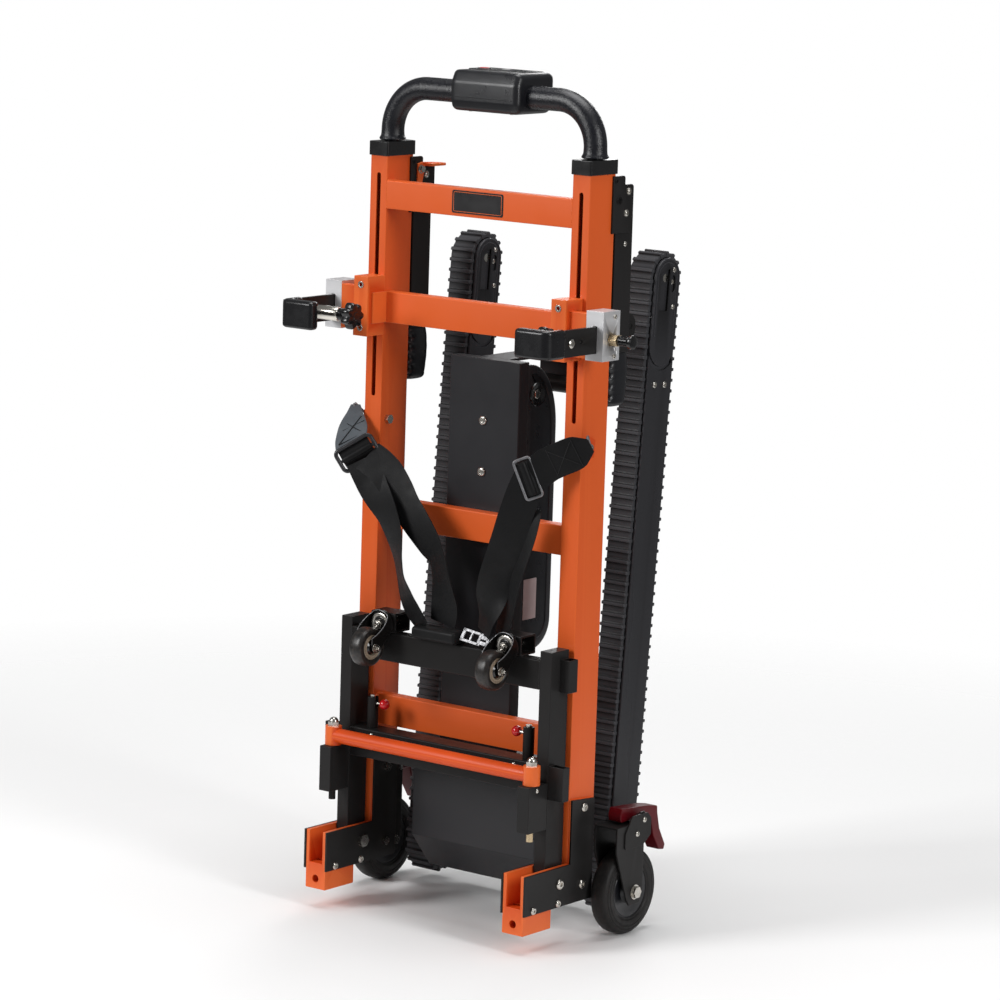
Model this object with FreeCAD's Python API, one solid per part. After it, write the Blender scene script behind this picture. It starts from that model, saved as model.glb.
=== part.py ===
import FreeCAD, Part
import math
import os

# Tracked stair-climbing load carrier, millimetres, +Z up, front faces -Y.
# The origin lies on the floor below the middle of the whole object.
# Every Y below is measured from the front face of the uprights; export moves
# the model so that the middle of its depth is at Y = 0.
FRONT_FACE_Y = -50.5

Vector = FreeCAD.Vector
X_AXIS = Vector(1, 0, 0)
Y_AXIS = Vector(0, 1, 0)
Z_AXIS = Vector(0, 0, 1)

# ---- driving dimensions -------------------------------------------------
# uprights
UPRIGHT_X = 178.0
UPRIGHT_W = 30.0
UPRIGHT_D = 58.0
UPRIGHT_WALL = 2.5
UPRIGHT_BOTTOM = 62.0
UPRIGHT_TOP = 1073.0
SLOT_W = 7.0
SLOT_LOW = 731.0
SLOT_HIGH = 1049.0
CAP_H = 20.0
# crossbars: (front y, bottom z, height)
BAR_DEPTH = 20.0
BAR_WALL = 2.0
TOP_BAR = (0.0, 999.0, 40.0)
LOWER_BAR = (8.0, 544.0, 42.0)
BOTTOM_BAR = (8.0, 256.0, 44.0)
# feet
FOOT_BOTTOM = 28.0
FOOT_FRONT = -102.0
FOOT_REAR = -38.0
FOOT_FLOOR = 66.0
FOOT_TOP = 113.0
FOOT_LEG_TOP = 204.0
FOOT_LEG_REAR = 52.0
FOOT_PLATE_LOW = 56.0
FOOT_PLATE_T = 3.0
FOOT_BORE_R = 5.6
FOOT_BORE_Z = 42.7
FOOT_BORE_DEPTH = 42.0
# folding platform
PIVOT_Y = -25.0
PIVOT_Z = 89.0
POST_W = 20.0
POST_D = 40.0
POST_TOP = 418.0
PIVOT_PIN_R = 6.0
CASTER_BAR = (-45.0, 363.0, 42.0)
MID_BAR_Z = 217.0
MID_BAR_H = 42.0
MID_BAR_D = 34.0
# push bar
ROD_Y = -69.0
ROD_R = 5.0
PUSH_BAR_Z = 248.0
PUSH_BAR_R = 10.5
BOSS_R = 12.0
GUIDE_LOW = 168.5
GUIDE_HIGH = 234.0
ROD_TIP_Z = 154.5
# casters
CASTER_X = 112.0
STEM_Z = 416.5
CASTER_AXLE_Y = -80.0
CASTER_AXLE_Z = 388.0
CASTER_R = 28.0
CASTER_W = 22.0
# latches
LATCH_X = 140.0
LATCH_Y = -28.0
LATCH_LOW = 259.0
LATCH_HIGH = 304.0
LATCH_BALL_X = 119.0
# sliding crossbar with its arms
SLIDER_BOTTOM = 838.0
SLIDER_H = 44.0
BLOCK_LOW = 820.0
BLOCK_HIGH = 905.0
BLOCK_DEPTH = 38.0
ARM_X = 231.0
ARM_T = 6.0
ARM_Z = 855.0
ARM_H = 37.0
ARM_FRONT = -136.0
KNOB_Y = -88.0
PLUNGER_Y = -11.0
# handle
LEG_R = 11.0
HANDLE_TUBE_R = 12.0
GRIP_R = 15.5
HANDLE_Y = 29.0
HANDLE_TOP_Z = 1170.0
HANDLE_BEND = 62.0
LEG_BOTTOM = 800.0
BOX_X = 60.0
BOX_Y = (-6.0, 80.0)
BOX_Z = (1146.0, 1203.0)
SWITCH_Y = 48.0
POWER_X = -32.0
POWER_R = 7.0
ROCKER_X = (2.0, 38.0)
ROCKER_W = 16.0
# tracks
TRACK_X = 159.0
TRACK_LOW = (140.0, 54.0)
TRACK_HIGH = (205.0, 918.0)
TRACK_RUN = math.hypot(TRACK_HIGH[0] - TRACK_LOW[0], TRACK_HIGH[1] - TRACK_LOW[1])
BELT_W = 40.0
BELT_R_IN = 29.5
BELT_R_OUT = 38.0
PLATE_R = 29.0
TRACK_PLATE_T = 3.0
ARCH_LENGTH = 95.0
TENSION_REAR = 15.0
SHAFT_R = 8.0
IDLER_AXLE_R = 6.0
CROSS_TUBE = (193.0, 752.0, 13.0)
# rear wheels
WHEEL_X = 219.0
WHEEL_Y = 99.0
WHEEL_R = 62.5
WHEEL_W = 30.0
WHEEL_AXLE_R = 5.0
BRACKET_IN = 199.0
BRACKET_OUT = 239.5
BRACKET_TOP = 161.5
PEDAL_PIN = (115.0, 167.0)
# rear levers
LEVER_PIN = (83.0, 1013.0)
LEVER_R = 20.0
LEVER_HALF_W = 14.0
GRIP_LOW = 749.0
# middle housing
COVER_X = 62.0
COVER_FRONT = 28.0
COVER_DEPTH = 22.0
COVER_LOW = 240.0
COVER_HIGH = 800.0
BATTERY_X = 57.0
BATTERY_Y = (51.0, 119.0)
BATTERY_Z = (385.0, 794.0)
KEY_PLACE = (76.0, 752.0)
GEAR_COVER_X = 111.0
# strap anchors
ANCHOR_Y = 15.0
ANCHOR_Z = 698.0
STRAP_W = 48.0
STRAP_T = 3.0

RUN_GAP = 0.05
FREE_GAP = 0.4


# ---- shape helpers ------------------------------------------------------
def box(x, y, z):
    """Solid between three (low, high) pairs."""
    size = [abs(b - a) for a, b in (x, y, z)]
    return Part.makeBox(*size, Vector(min(x), min(y), min(z)))


def cylinder(radius, start, end):
    """Round bar of one radius between two points."""
    start = Vector(*start)
    run = Vector(*end) - start
    return Part.makeCylinder(radius, run.Length, start, run)


def ball(radius, centre):
    """Sphere whose seam faces -X, away from what joins it."""
    sphere = Part.makeSphere(radius, Vector(*centre))
    return sphere.rotate(Vector(*centre), Z_AXIS, 180)


def plate_yz(points, x, holes=()):
    """Plate standing across X, cut from an outline of (y, z) points.

    holes holds (y, z, radius) for each round hole."""
    wire = Part.makePolygon([Vector(x[0], y, z) for y, z in list(points) + [points[0]]])
    solid = Part.Face(wire).extrude(Vector(x[1] - x[0], 0, 0))
    for y, z, radius in holes:
        solid = solid.cut(cylinder(radius, (x[0] - 1, y, z), (x[1] + 1, y, z)))
    return solid


def plate_xz(points, y):
    """Plate standing across Y, cut from an outline of (x, z) points."""
    wire = Part.makePolygon([Vector(px, y[0], pz) for px, pz in list(points) + [points[0]]])
    return Part.Face(wire).extrude(Vector(0, y[1] - y[0], 0))


def square_tube(x, y, z, wall, along):
    """Rectangular tube, hollow right through along 0 (X) or 2 (Z)."""
    spans = [x, y, z]
    inner = [(min(s) + wall, max(s) - wall) for s in spans]
    inner[along] = (min(spans[along]) - 1, max(spans[along]) + 1)
    return box(*spans).cut(box(*inner))


def round_edges(solid, radius, direction):
    """Fillet every straight edge that runs along one direction."""
    picked = []
    for edge in solid.Edges:
        if edge.Curve.TypeId != "Part::GeomLine":
            continue
        run = edge.Vertexes[1].Point - edge.Vertexes[0].Point
        if run.cross(direction).Length < 1e-6:
            picked.append(edge)
    return solid.makeFillet(radius, picked)


def mirror(solid):
    return solid.mirror(Vector(0, 0, 0), X_AXIS)


def pair(solid):
    return [solid, mirror(solid)]


def group(solids):
    return Part.makeCompound(solids)


def stadium(low, high, radius, x):
    """Flat bar with round ends about two (y, z) centres, across X."""
    run = Vector(0, high[0] - low[0], high[1] - low[1])
    side = run.cross(X_AXIS).normalize() * radius
    a = Vector(x[0], *low)
    b = Vector(x[0], *high)
    tip = run.normalize() * radius
    edges = [
        Part.LineSegment(a + side, b + side).toShape(),
        Part.Arc(b + side, b + tip, b - side).toShape(),
        Part.LineSegment(b - side, a - side).toShape(),
        Part.Arc(a - side, a - tip, a + side).toShape(),
    ]
    return Part.Face(Part.Wire(edges)).extrude(Vector(x[1] - x[0], 0, 0))


def on_track(distance, rearward=0.0):
    """(y, z) along the track from the sprocket, on its centre line or behind it."""
    along = (TRACK_HIGH[0] - TRACK_LOW[0]) / TRACK_RUN
    up = (TRACK_HIGH[1] - TRACK_LOW[1]) / TRACK_RUN
    y = TRACK_LOW[0] + along * distance + up * rearward
    return (y, TRACK_LOW[1] + up * distance - along * rearward)


def dome_bolt(centre, direction, head_r, shank_r, length):
    """Button-head screw: the head sits at centre and the shank runs back."""
    centre = Vector(*centre)
    out = Vector(*direction)
    head = Part.makeCylinder(head_r, head_r * 0.55, centre, out)
    head = head.makeFillet(head_r * 0.4, [head.Edges[0]])
    socket = Part.makeCylinder(head_r * 0.4, head_r * 0.4, centre + out * head_r * 0.3, out)
    head = head.cut(socket)
    if length > 0:
        head = head.fuse(Part.makeCylinder(shank_r, length, centre, out * -1))
    return head


def hex_prism(centre, direction, across, height):
    centre = Vector(*centre)
    out = Vector(*direction)
    if abs(out.z) < 0.5:
        side = out.cross(Z_AXIS)
    else:
        side = X_AXIS
    other = out.cross(side)
    radius = across / math.sqrt(3)
    corners = []
    for i in range(7):
        angle = math.radians(60 * i)
        corners.append(centre + side * (radius * math.cos(angle)) + other * (radius * math.sin(angle)))
    return Part.Face(Part.makePolygon(corners)).extrude(out * height)


# ---- frame --------------------------------------------------------------
def upright():
    x = (UPRIGHT_X - UPRIGHT_W / 2, UPRIGHT_X + UPRIGHT_W / 2)
    tube = square_tube(x, (0, UPRIGHT_D), (UPRIGHT_BOTTOM, UPRIGHT_TOP), UPRIGHT_WALL, 2)
    tube = round_edges(tube, 1.2, Z_AXIS)
    half = SLOT_W / 2
    ends = (SLOT_LOW + half, SLOT_HIGH - half)
    slot = box((UPRIGHT_X - half, UPRIGHT_X + half), (-1, UPRIGHT_WALL + 1), ends)
    for z in ends:
        slot = slot.fuse(cylinder(half, (UPRIGHT_X, -1, z), (UPRIGHT_X, UPRIGHT_WALL + 1, z)))
    holes = [(ANCHOR_Y, ANCHOR_Z, 4.3), (27, 80, 4.3), (27, 190, 4.3)]
    tube = tube.cut(slot)
    for y, z, radius in holes:
        tube = tube.cut(cylinder(radius, (x[0] - 1, y, z), (x[1] + 1, y, z)))
    return tube


def crossbar(place, half_length):
    y, z, height = place
    bar = square_tube((-half_length, half_length), (y, y + BAR_DEPTH), (z, z + height), BAR_WALL, 0)
    return round_edges(bar, 1.5, X_AXIS)


def frame_crossbars():
    inner = UPRIGHT_X - UPRIGHT_W / 2
    return group([crossbar(place, inner) for place in (TOP_BAR, LOWER_BAR, BOTTOM_BAR)])


def upright_caps():
    half_w = UPRIGHT_W / 2 + 2.5
    low, high = UPRIGHT_TOP, UPRIGHT_TOP + CAP_H
    cap = box((UPRIGHT_X - half_w, UPRIGHT_X + half_w), (-2.5, UPRIGHT_D + 2.5), (low, high))
    cap = round_edges(cap, 3.0, Z_AXIS)
    inset = UPRIGHT_WALL + 0.4
    plug_w = UPRIGHT_W / 2 - inset
    plug = box((UPRIGHT_X - plug_w, UPRIGHT_X + plug_w), (inset, UPRIGHT_D - inset), (low - 18, low))
    bore = cylinder(LEG_R + FREE_GAP, (UPRIGHT_X, HANDLE_Y, low - 20), (UPRIGHT_X, HANDLE_Y, high + 1))
    return group(pair(cap.fuse(plug).cut(bore)))


def foot_outline(front, low, leg_low):
    """Side view of a foot: a toe that runs forward and a leg up the post."""
    return [
        (front, low), (FOOT_REAR, low), (FOOT_REAR, leg_low), (FOOT_LEG_REAR, leg_low),
        (FOOT_LEG_REAR, FOOT_LEG_TOP - 4), (0, FOOT_LEG_TOP), (0, FOOT_TOP), (front, FOOT_TOP),
    ]


def foot_channel():
    """Toe block with two side cheeks that reach up beside the upright."""
    inner = UPRIGHT_X - UPRIGHT_W / 2
    outer = UPRIGHT_X + UPRIGHT_W / 2
    outline = foot_outline(FOOT_FRONT, FOOT_BOTTOM, FOOT_PLATE_LOW)
    cheeks = plate_yz(outline, (inner - 3, inner)).fuse(plate_yz(outline, (outer, outer + 3)))
    thick = []
    for x in ((inner, inner + 3), (outer - 3, outer)):
        thick.append(box(x, (FOOT_FRONT, 0), (FOOT_FLOOR, FOOT_TOP)))
    toe = box((inner, outer), (FOOT_FRONT, FOOT_REAR), (FOOT_BOTTOM, FOOT_FLOOR))
    floor = box((inner, outer), (FOOT_REAR, -0.2), (FOOT_PLATE_LOW, FOOT_FLOOR - 5))
    body = cheeks.fuse(thick).fuse(toe).fuse(floor).removeSplitter()
    bore_end = (UPRIGHT_X, FOOT_FRONT + FOOT_BORE_DEPTH, FOOT_BORE_Z)
    body = body.cut(cylinder(FOOT_BORE_R, (UPRIGHT_X, FOOT_FRONT - 1, FOOT_BORE_Z), bore_end))
    for y, z, radius in foot_hole_list():
        body = body.cut(cylinder(radius, (inner - 4, y, z), (outer + 4, y, z)))
    return body


def foot_hole_list():
    pin = (PIVOT_Y, PIVOT_Z, PIVOT_PIN_R + RUN_GAP)
    screws = [(y, z, 4.3) for y, z in ((27, 80), (27, 190), (-27, 62), (-84, 62))]
    return [pin] + screws


def foot_plates():
    """Four dark outer plates that cover the cheeks of both feet."""
    outline = foot_outline(FOOT_FRONT - 1.5, FOOT_PLATE_LOW, FOOT_PLATE_LOW)
    outline = [p for i, p in enumerate(outline) if i not in (1, 2)]
    outer = UPRIGHT_X + UPRIGHT_W / 2 + 3
    inner = UPRIGHT_X - UPRIGHT_W / 2 - 3
    plates = []
    for x in ((outer, outer + FOOT_PLATE_T), (inner - FOOT_PLATE_T, inner)):
        plates += pair(plate_yz(outline, x, foot_hole_list()))
    return group(plates)


def frame_fasteners():
    """Pivot pins, foot screws, strap bolts and the rear wheel axles."""
    left = UPRIGHT_X - UPRIGHT_W / 2 - 3 - FOOT_PLATE_T
    right = UPRIGHT_X + UPRIGHT_W / 2 + 3 + FOOT_PLATE_T
    solids = []
    pin = cylinder(PIVOT_PIN_R, (left, PIVOT_Y, PIVOT_Z), (right, PIVOT_Y, PIVOT_Z))
    pin = pin.fuse(dome_bolt((right, PIVOT_Y, PIVOT_Z), (1, 0, 0), 7.5, 6, 0))
    pin = pin.fuse(hex_prism((left, PIVOT_Y, PIVOT_Z), (-1, 0, 0), 17, 6))
    solids += pair(pin)
    for y, z in ((27, 80), (27, 190)):
        screw = dome_bolt((right, y, z), (1, 0, 0), 6.5, 4.0, right - left)
        solids += pair(screw.fuse(hex_prism((left, y, z), (-1, 0, 0), 12, 5)))
    for y, z in ((-27, 62), (-84, 62)):
        # these two clamp the plates to the toe block from each side
        solids += pair(dome_bolt((right, y, z), (1, 0, 0), 5.5, 4.0, 6.0))
        solids += pair(dome_bolt((left, y, z), (-1, 0, 0), 5.5, 4.0, 6.0))
    strap_in = UPRIGHT_X - UPRIGHT_W / 2
    strap_out = UPRIGHT_X + UPRIGHT_W / 2 + 3
    bolt = dome_bolt((strap_out, ANCHOR_Y, ANCHOR_Z), (1, 0, 0), 6.5, 4.0, strap_out - strap_in)
    solids += pair(bolt.fuse(hex_prism((strap_in, ANCHOR_Y, ANCHOR_Z), (-1, 0, 0), 12, 6)))
    axle = cylinder(WHEEL_AXLE_R, (BRACKET_IN, WHEEL_Y, WHEEL_R), (BRACKET_OUT, WHEEL_Y, WHEEL_R))
    axle = axle.fuse(hex_prism((BRACKET_OUT, WHEEL_Y, WHEEL_R), (1, 0, 0), 15, 6))
    axle = axle.fuse(hex_prism((BRACKET_IN, WHEEL_Y, WHEEL_R), (-1, 0, 0), 15, 6))
    solids += pair(axle)
    pedal = cylinder(4.0, (BRACKET_IN, *PEDAL_PIN), (BRACKET_OUT, *PEDAL_PIN))
    solids += pair(pedal.fuse(cylinder(6.0, (BRACKET_OUT, *PEDAL_PIN), (BRACKET_OUT + 2, *PEDAL_PIN))))
    return solids


# ---- track units --------------------------------------------------------
def track_housing():
    """Closed beam between the pulleys with its side plates and arched ends."""
    half = BELT_W / 2
    depth = PLATE_R - 4
    wall = 3.0
    low = 48.0
    high = TRACK_RUN - 58.0
    outline = [on_track(low, depth), on_track(high, depth), on_track(high, -depth), on_track(low, -depth)]
    beam = plate_yz(outline, (TRACK_X - half, TRACK_X + half))
    low += wall
    high -= wall
    depth -= wall
    outline = [on_track(low, depth), on_track(high, depth), on_track(high, -depth), on_track(low, -depth)]
    beam = beam.cut(plate_yz(outline, (TRACK_X - half + wall, TRACK_X + half - wall)))
    solids = [beam]
    split = on_track(TRACK_RUN - ARCH_LENGTH)
    for sign in (1, -1):
        face = TRACK_X + sign * half
        x = (face, face + sign * TRACK_PLATE_T)
        through = (face - 9, face + 9)
        plate = stadium(TRACK_LOW, split, PLATE_R, x)
        plate = plate.cut(stadium(split, TRACK_HIGH, PLATE_R + 6, x))
        plate = plate.cut(cylinder(SHAFT_R + 1, (through[0], *TRACK_LOW), (through[1], *TRACK_LOW)))
        solids.append(plate)
        # the arch shows the tension plate through a window and a slot
        window = [on_track(TRACK_RUN - 46, -15), on_track(TRACK_RUN + 6, -15)]
        window += [on_track(TRACK_RUN + 13, 5), on_track(TRACK_RUN - 46, 5)]
        slot_ends = [on_track(distance, TENSION_REAR) for distance in (TRACK_RUN - 15, TRACK_RUN)]
        slot = stadium(*slot_ends, 4.3, through)
        arch = stadium(split, TRACK_HIGH, PLATE_R, x)
        arch = arch.cut(plate_yz(window, through)).cut(slot)
        for distance in tension_screws():
            arch = arch.cut(cylinder(1.6, (through[0], *distance), (through[1], *distance)))
        solids.append(arch)
        back = face - sign * 0.5
        tension = stadium(on_track(TRACK_RUN - 30), TRACK_HIGH, PLATE_R - 3, (back - sign * 3.5, back))
        tension = tension.cut(cylinder(IDLER_AXLE_R, (through[0], *TRACK_HIGH), (through[1], *TRACK_HIGH)))
        solids.append(tension)
    return group(solids)


def tension_screws():
    """Places of the two screws that hold an arch, above and below its slot."""
    return [on_track(TRACK_RUN + 12, TENSION_REAR - 1), on_track(TRACK_RUN - 40, TENSION_REAR + 2)]


def track_belt():
    """Endless belt to the tips of its lugs."""
    x = (TRACK_X - BELT_W / 2 + 0.2, TRACK_X + BELT_W / 2 - 0.2)
    outer = stadium(TRACK_LOW, TRACK_HIGH, BELT_R_OUT, x)
    inner = stadium(TRACK_LOW, TRACK_HIGH, BELT_R_IN, (x[0] - 1, x[1] + 1))
    return outer.cut(inner)


def track_cross_tube():
    y, z, radius = CROSS_TUBE
    reach = TRACK_X - BELT_W / 2 - TRACK_PLATE_T
    tube = cylinder(radius, (-reach, y, z), (reach, y, z))
    return tube.cut(cylinder(radius - 2.5, (-reach - 1, y, z), (reach + 1, y, z)))


def drive_shaft():
    reach = TRACK_X + BELT_W / 2 - 2
    return cylinder(SHAFT_R, (-reach, *TRACK_LOW), (reach, *TRACK_LOW))


def pulley(centre, bore):
    """Flanged pulley, lightened by six round holes."""
    half = BELT_W / 2 - 5
    rim = BELT_R_IN - 0.8
    wheel = cylinder(rim, (TRACK_X - half, *centre), (TRACK_X + half, *centre))
    wheel = wheel.cut(cylinder(bore, (TRACK_X - half - 1, *centre), (TRACK_X + half + 1, *centre)))
    for i in range(6):
        angle = math.radians(60 * i)
        y = centre[0] + 19 * math.cos(angle)
        z = centre[1] + 19 * math.sin(angle)
        wheel = wheel.cut(cylinder(4.5, (TRACK_X - half - 1, y, z), (TRACK_X + half + 1, y, z)))
    return wheel


def track_sprockets():
    return group(pair(pulley(TRACK_LOW, SHAFT_R)))


def track_idlers():
    return group(pair(pulley(TRACK_HIGH, IDLER_AXLE_R + RUN_GAP)))


def track_fasteners():
    """Idler axles, tension bolts and the screws of the arches and side plates."""
    half = BELT_W / 2
    solids = []
    reach = half - 0.5
    axle = cylinder(IDLER_AXLE_R, (TRACK_X - reach, *TRACK_HIGH), (TRACK_X + reach, *TRACK_HIGH))
    solids += pair(axle)
    for sign in (1, -1):
        face = TRACK_X + sign * half
        outside = face + sign * TRACK_PLATE_T
        tension = on_track(TRACK_RUN - 5, TENSION_REAR)
        solids += pair(dome_bolt((face - sign * 0.5, *tension), (sign, 0, 0), 3.9, 2, 0))
        for y, z in tension_screws():
            solids += pair(dome_bolt((outside, y, z), (sign, 0, 0), 3.6, 1.6, 2.8))
    for distance in (23.0, 55.0, TRACK_RUN - 150):
        for side in (-12, 12):
            centre = (TRACK_X + half + TRACK_PLATE_T, *on_track(distance, side))
            solids += pair(dome_bolt(centre, (1, 0, 0), 4.5, 2, 0))
    return group(solids)


# ---- middle housing and drive ------------------------------------------
def central_cover():
    """Folded front channel that carries the battery, with its tube strut."""
    x = (-COVER_X, COVER_X)
    shell = box(x, (COVER_FRONT, COVER_FRONT + COVER_DEPTH), (COVER_LOW, COVER_HIGH))
    shell = round_edges(shell, 2.0, Z_AXIS)
    inside = (-COVER_X + 2, COVER_X - 2)
    depth = (COVER_FRONT + 2, COVER_FRONT + COVER_DEPTH + 5)
    shell = shell.cut(box(inside, depth, (COVER_LOW + 2, COVER_HIGH - 2)))
    y, z, radius = CROSS_TUBE
    strut_y = (COVER_FRONT + COVER_DEPTH, y)
    strut = box((-25, 25), strut_y, (COVER_HIGH - 4, COVER_HIGH))
    drop = box((-25, 25), (y - 4, y), (z + radius - 1, COVER_HIGH - 4))
    strut = strut.fuse(drop).cut(cylinder(radius, (-30, y, z), (30, y, z)))
    heads = []
    for screw_z in (713, 640):
        heads.append(dome_bolt((0, COVER_FRONT, screw_z), (0, -1, 0), 6.5, 3, 0))
    return group([shell, strut] + heads)


def battery_pack():
    pack = box((-BATTERY_X, BATTERY_X), BATTERY_Y, BATTERY_Z)
    rear_edges = []
    for edge in pack.Edges:
        points = [v.Point for v in edge.Vertexes]
        along_x = abs(points[0].x - points[1].x) > 1
        if along_x and all(abs(p.y - BATTERY_Y[1]) < 0.1 for p in points):
            rear_edges.append(edge)
    pack = pack.makeFillet(42, rear_edges)
    recess = cylinder(13, (BATTERY_X - 5, *KEY_PLACE), (BATTERY_X + 1, *KEY_PLACE))
    core = cylinder(7, (BATTERY_X - 20, *KEY_PLACE), (BATTERY_X + 1, *KEY_PLACE))
    return pack.cut(recess).cut(core)


def key_switch():
    y, z = KEY_PLACE
    barrel = cylinder(6.5, (BATTERY_X - 19.5, y, z), (BATTERY_X - 2, y, z))
    slot = box((BATTERY_X - 6, BATTERY_X), (y - 0.8, y + 0.8), (z - 4, z + 4))
    return barrel.cut(slot)


GEAR_PROFILE = [(32, 238), (32, 97), (75, 45), (168, 30), (168, 150), (110, 238)]


def gearbox_cover():
    """Creased cover around the drive, open only for the drive shaft."""
    shell = plate_yz(GEAR_PROFILE, (-GEAR_COVER_X, GEAR_COVER_X))
    inner = [(34.5, 235.5), (34.5, 98), (76, 47.7), (165.5, 33), (165.5, 149), (109, 235.5)]
    shell = shell.cut(plate_yz(inner, (-GEAR_COVER_X + 2.5, GEAR_COVER_X - 2.5)))
    return shell.cut(cylinder(SHAFT_R + 1, (-GEAR_COVER_X - 1, *TRACK_LOW), (GEAR_COVER_X + 1, *TRACK_LOW)))


def gearbox():
    case = box((-45, 45), (104, 162), (48, 112))
    case = round_edges(case, 8, X_AXIS)
    solids = [case]
    start = GEAR_COVER_X + 0.5
    sleeve = cylinder(19, (start, *TRACK_LOW), (TRACK_X - BELT_W / 2 - TRACK_PLATE_T, *TRACK_LOW))
    solids += pair(sleeve)
    bore = cylinder(SHAFT_R + RUN_GAP, (-200, *TRACK_LOW), (200, *TRACK_LOW))
    return group([solid.cut(bore) for solid in solids])


def drive_motor():
    body = cylinder(36, (-20, 80, 162), (85, 80, 162))
    neck = cylinder(18, (-34, 80, 162), (-20, 80, 162))
    foot = box((-34, -22), (72, 120), (112.5, 160))
    return body.fuse(neck).fuse(foot)


# ---- rear wheels --------------------------------------------------------
def wheel_bracket():
    side = [
        (53, BRACKET_TOP), (53, 125), (WHEEL_Y - 19, WHEEL_R - 8), (WHEEL_Y - 12, WHEEL_R - 18),
        (WHEEL_Y + 12, WHEEL_R - 18), (118, WHEEL_R + 4), (118, 176), (108, 176), (104, BRACKET_TOP),
    ]
    holes = [(WHEEL_Y, WHEEL_R, WHEEL_AXLE_R), (*PEDAL_PIN, 4.0)]
    bracket = plate_yz(side, (BRACKET_OUT - 3, BRACKET_OUT), holes)
    inner = plate_yz(side, (BRACKET_IN, BRACKET_IN + 3), holes)
    top = box((BRACKET_IN, BRACKET_OUT), (53, 104), (BRACKET_TOP - 3, BRACKET_TOP))
    bracket = bracket.fuse(inner).fuse(top).removeSplitter()
    return bracket


def wheel_brackets():
    return group(pair(wheel_bracket()))


def ring_of_revolution(points, centre_y, centre_z, x_mid):
    """Turn an outline of (offset along X, radius) pairs about the X axis."""
    outline = [Vector(x_mid + dx, centre_y, centre_z + r) for dx, r in points]
    face = Part.Face(Part.makePolygon(outline + [outline[0]]))
    return face.revolve(Vector(x_mid, centre_y, centre_z), X_AXIS, 360)


def wheel_tyre():
    half = WHEEL_W / 2
    outline = [(-half + 2, 44), (half - 2, 44), (half, 48), (half - 1, 57), (half - 6, WHEEL_R - 1)]
    outline += [(0, WHEEL_R), (-half + 6, WHEEL_R - 1), (-half + 1, 57), (-half, 48)]
    return ring_of_revolution(outline, WHEEL_Y, WHEEL_R, WHEEL_X)


def wheel_hub():
    half = WHEEL_W / 2
    bore = WHEEL_AXLE_R + RUN_GAP
    outline = [(-half, bore), (half, bore), (half, 14), (6, 18), (6, 36), (half - 4, 40), (half - 4, 44)]
    outline += [(-half + 4, 44), (-half + 4, 40), (-6, 36), (-6, 18), (-half, 14)]
    return ring_of_revolution(outline, WHEEL_Y, WHEEL_R, WHEEL_X)


def brake_pedal():
    y, z = PEDAL_PIN
    outline = [
        (72, z + 7), (76, z + 17), (104, z + 15), (140, z + 12), (161, z + 8), (162, z - 2),
        (168, z - 26), (183, z - 52), (180, z - 59), (168, z - 57), (153, z - 34), (146, z - 6),
        (122, z - 7), (108, z - 6), (106, z - 2), (74, z - 2),
    ]
    outline = [(py, max(pz, BRACKET_TOP + 0.8) if py < 107 else pz) for py, pz in outline]
    return plate_yz(outline, (WHEEL_X - 11, WHEEL_X + 11), [(y, z, 4.0 + RUN_GAP)])


# ---- rear levers --------------------------------------------------------
def lever_bracket():
    outline = [(58.2, 993), (102, 993), (102, 1050), (97, 1055), (82, 1057), (80, 1067), (58.2, 1067)]
    half = UPRIGHT_W / 2
    holes = [(*LEVER_PIN, 5.0), (90, 1044, 3.0)]
    inner = plate_yz(outline, (UPRIGHT_X - half - 3, UPRIGHT_X - half), holes)
    outer = plate_yz(outline, (UPRIGHT_X + half, UPRIGHT_X + half + 3), holes)
    web = box((UPRIGHT_X - half, UPRIGHT_X + half), (58.2, 61), (993, 1067))
    bracket = inner.fuse(outer).fuse(web).removeSplitter()
    pin = cylinder(5.0, (UPRIGHT_X - half - 3, *LEVER_PIN), (UPRIGHT_X + half + 3, *LEVER_PIN))
    for sign in (1, -1):
        edge = UPRIGHT_X + sign * (half + 3)
        pin = pin.fuse(dome_bolt((edge, *LEVER_PIN), (sign, 0, 0), 6.5, 4, 0))
    return [bracket, pin]


def lever_brackets():
    solids = []
    for solid in lever_bracket():
        solids += pair(solid)
    return group(solids)


def rear_lever(sign):
    """Flat arm that hangs from its pin, with a grooved hand grip."""
    y, z = LEVER_PIN
    low = 826.0
    x = (UPRIGHT_X - LEVER_HALF_W, UPRIGHT_X + LEVER_HALF_W)
    arm = plate_yz([(y - LEVER_R, z), (y + LEVER_R, z), (y + LEVER_R, low), (y - LEVER_R, low)], x)
    arm = arm.fuse(cylinder(LEVER_R, (x[0], y, z), (x[1], y, z)))
    hollow = (x[0] + 2.5, x[1] - 2.5)
    arm = arm.cut(box(hollow, (y - LEVER_R - 1, y + LEVER_R - 2.5), (low + 8, z - 28)))
    arm = arm.cut(cylinder(5.0 + RUN_GAP, (x[0] - 1, y, z), (x[1] + 1, y, z)))
    outline = [(62, low), (106, low), (110, GRIP_LOW + 14), (104, GRIP_LOW)]
    outline += [(68, GRIP_LOW), (62, GRIP_LOW + 8)]
    grip = plate_yz(outline, x)
    for i in range(4):
        groove_z = low - 16 - i * 15
        grip = grip.cut(cylinder(7.0, (x[0] - 1, 56.5, groove_z), (x[1] + 1, 56.5, groove_z)))
    lever = group([arm, grip])
    return lever if sign > 0 else mirror(lever)


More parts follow.
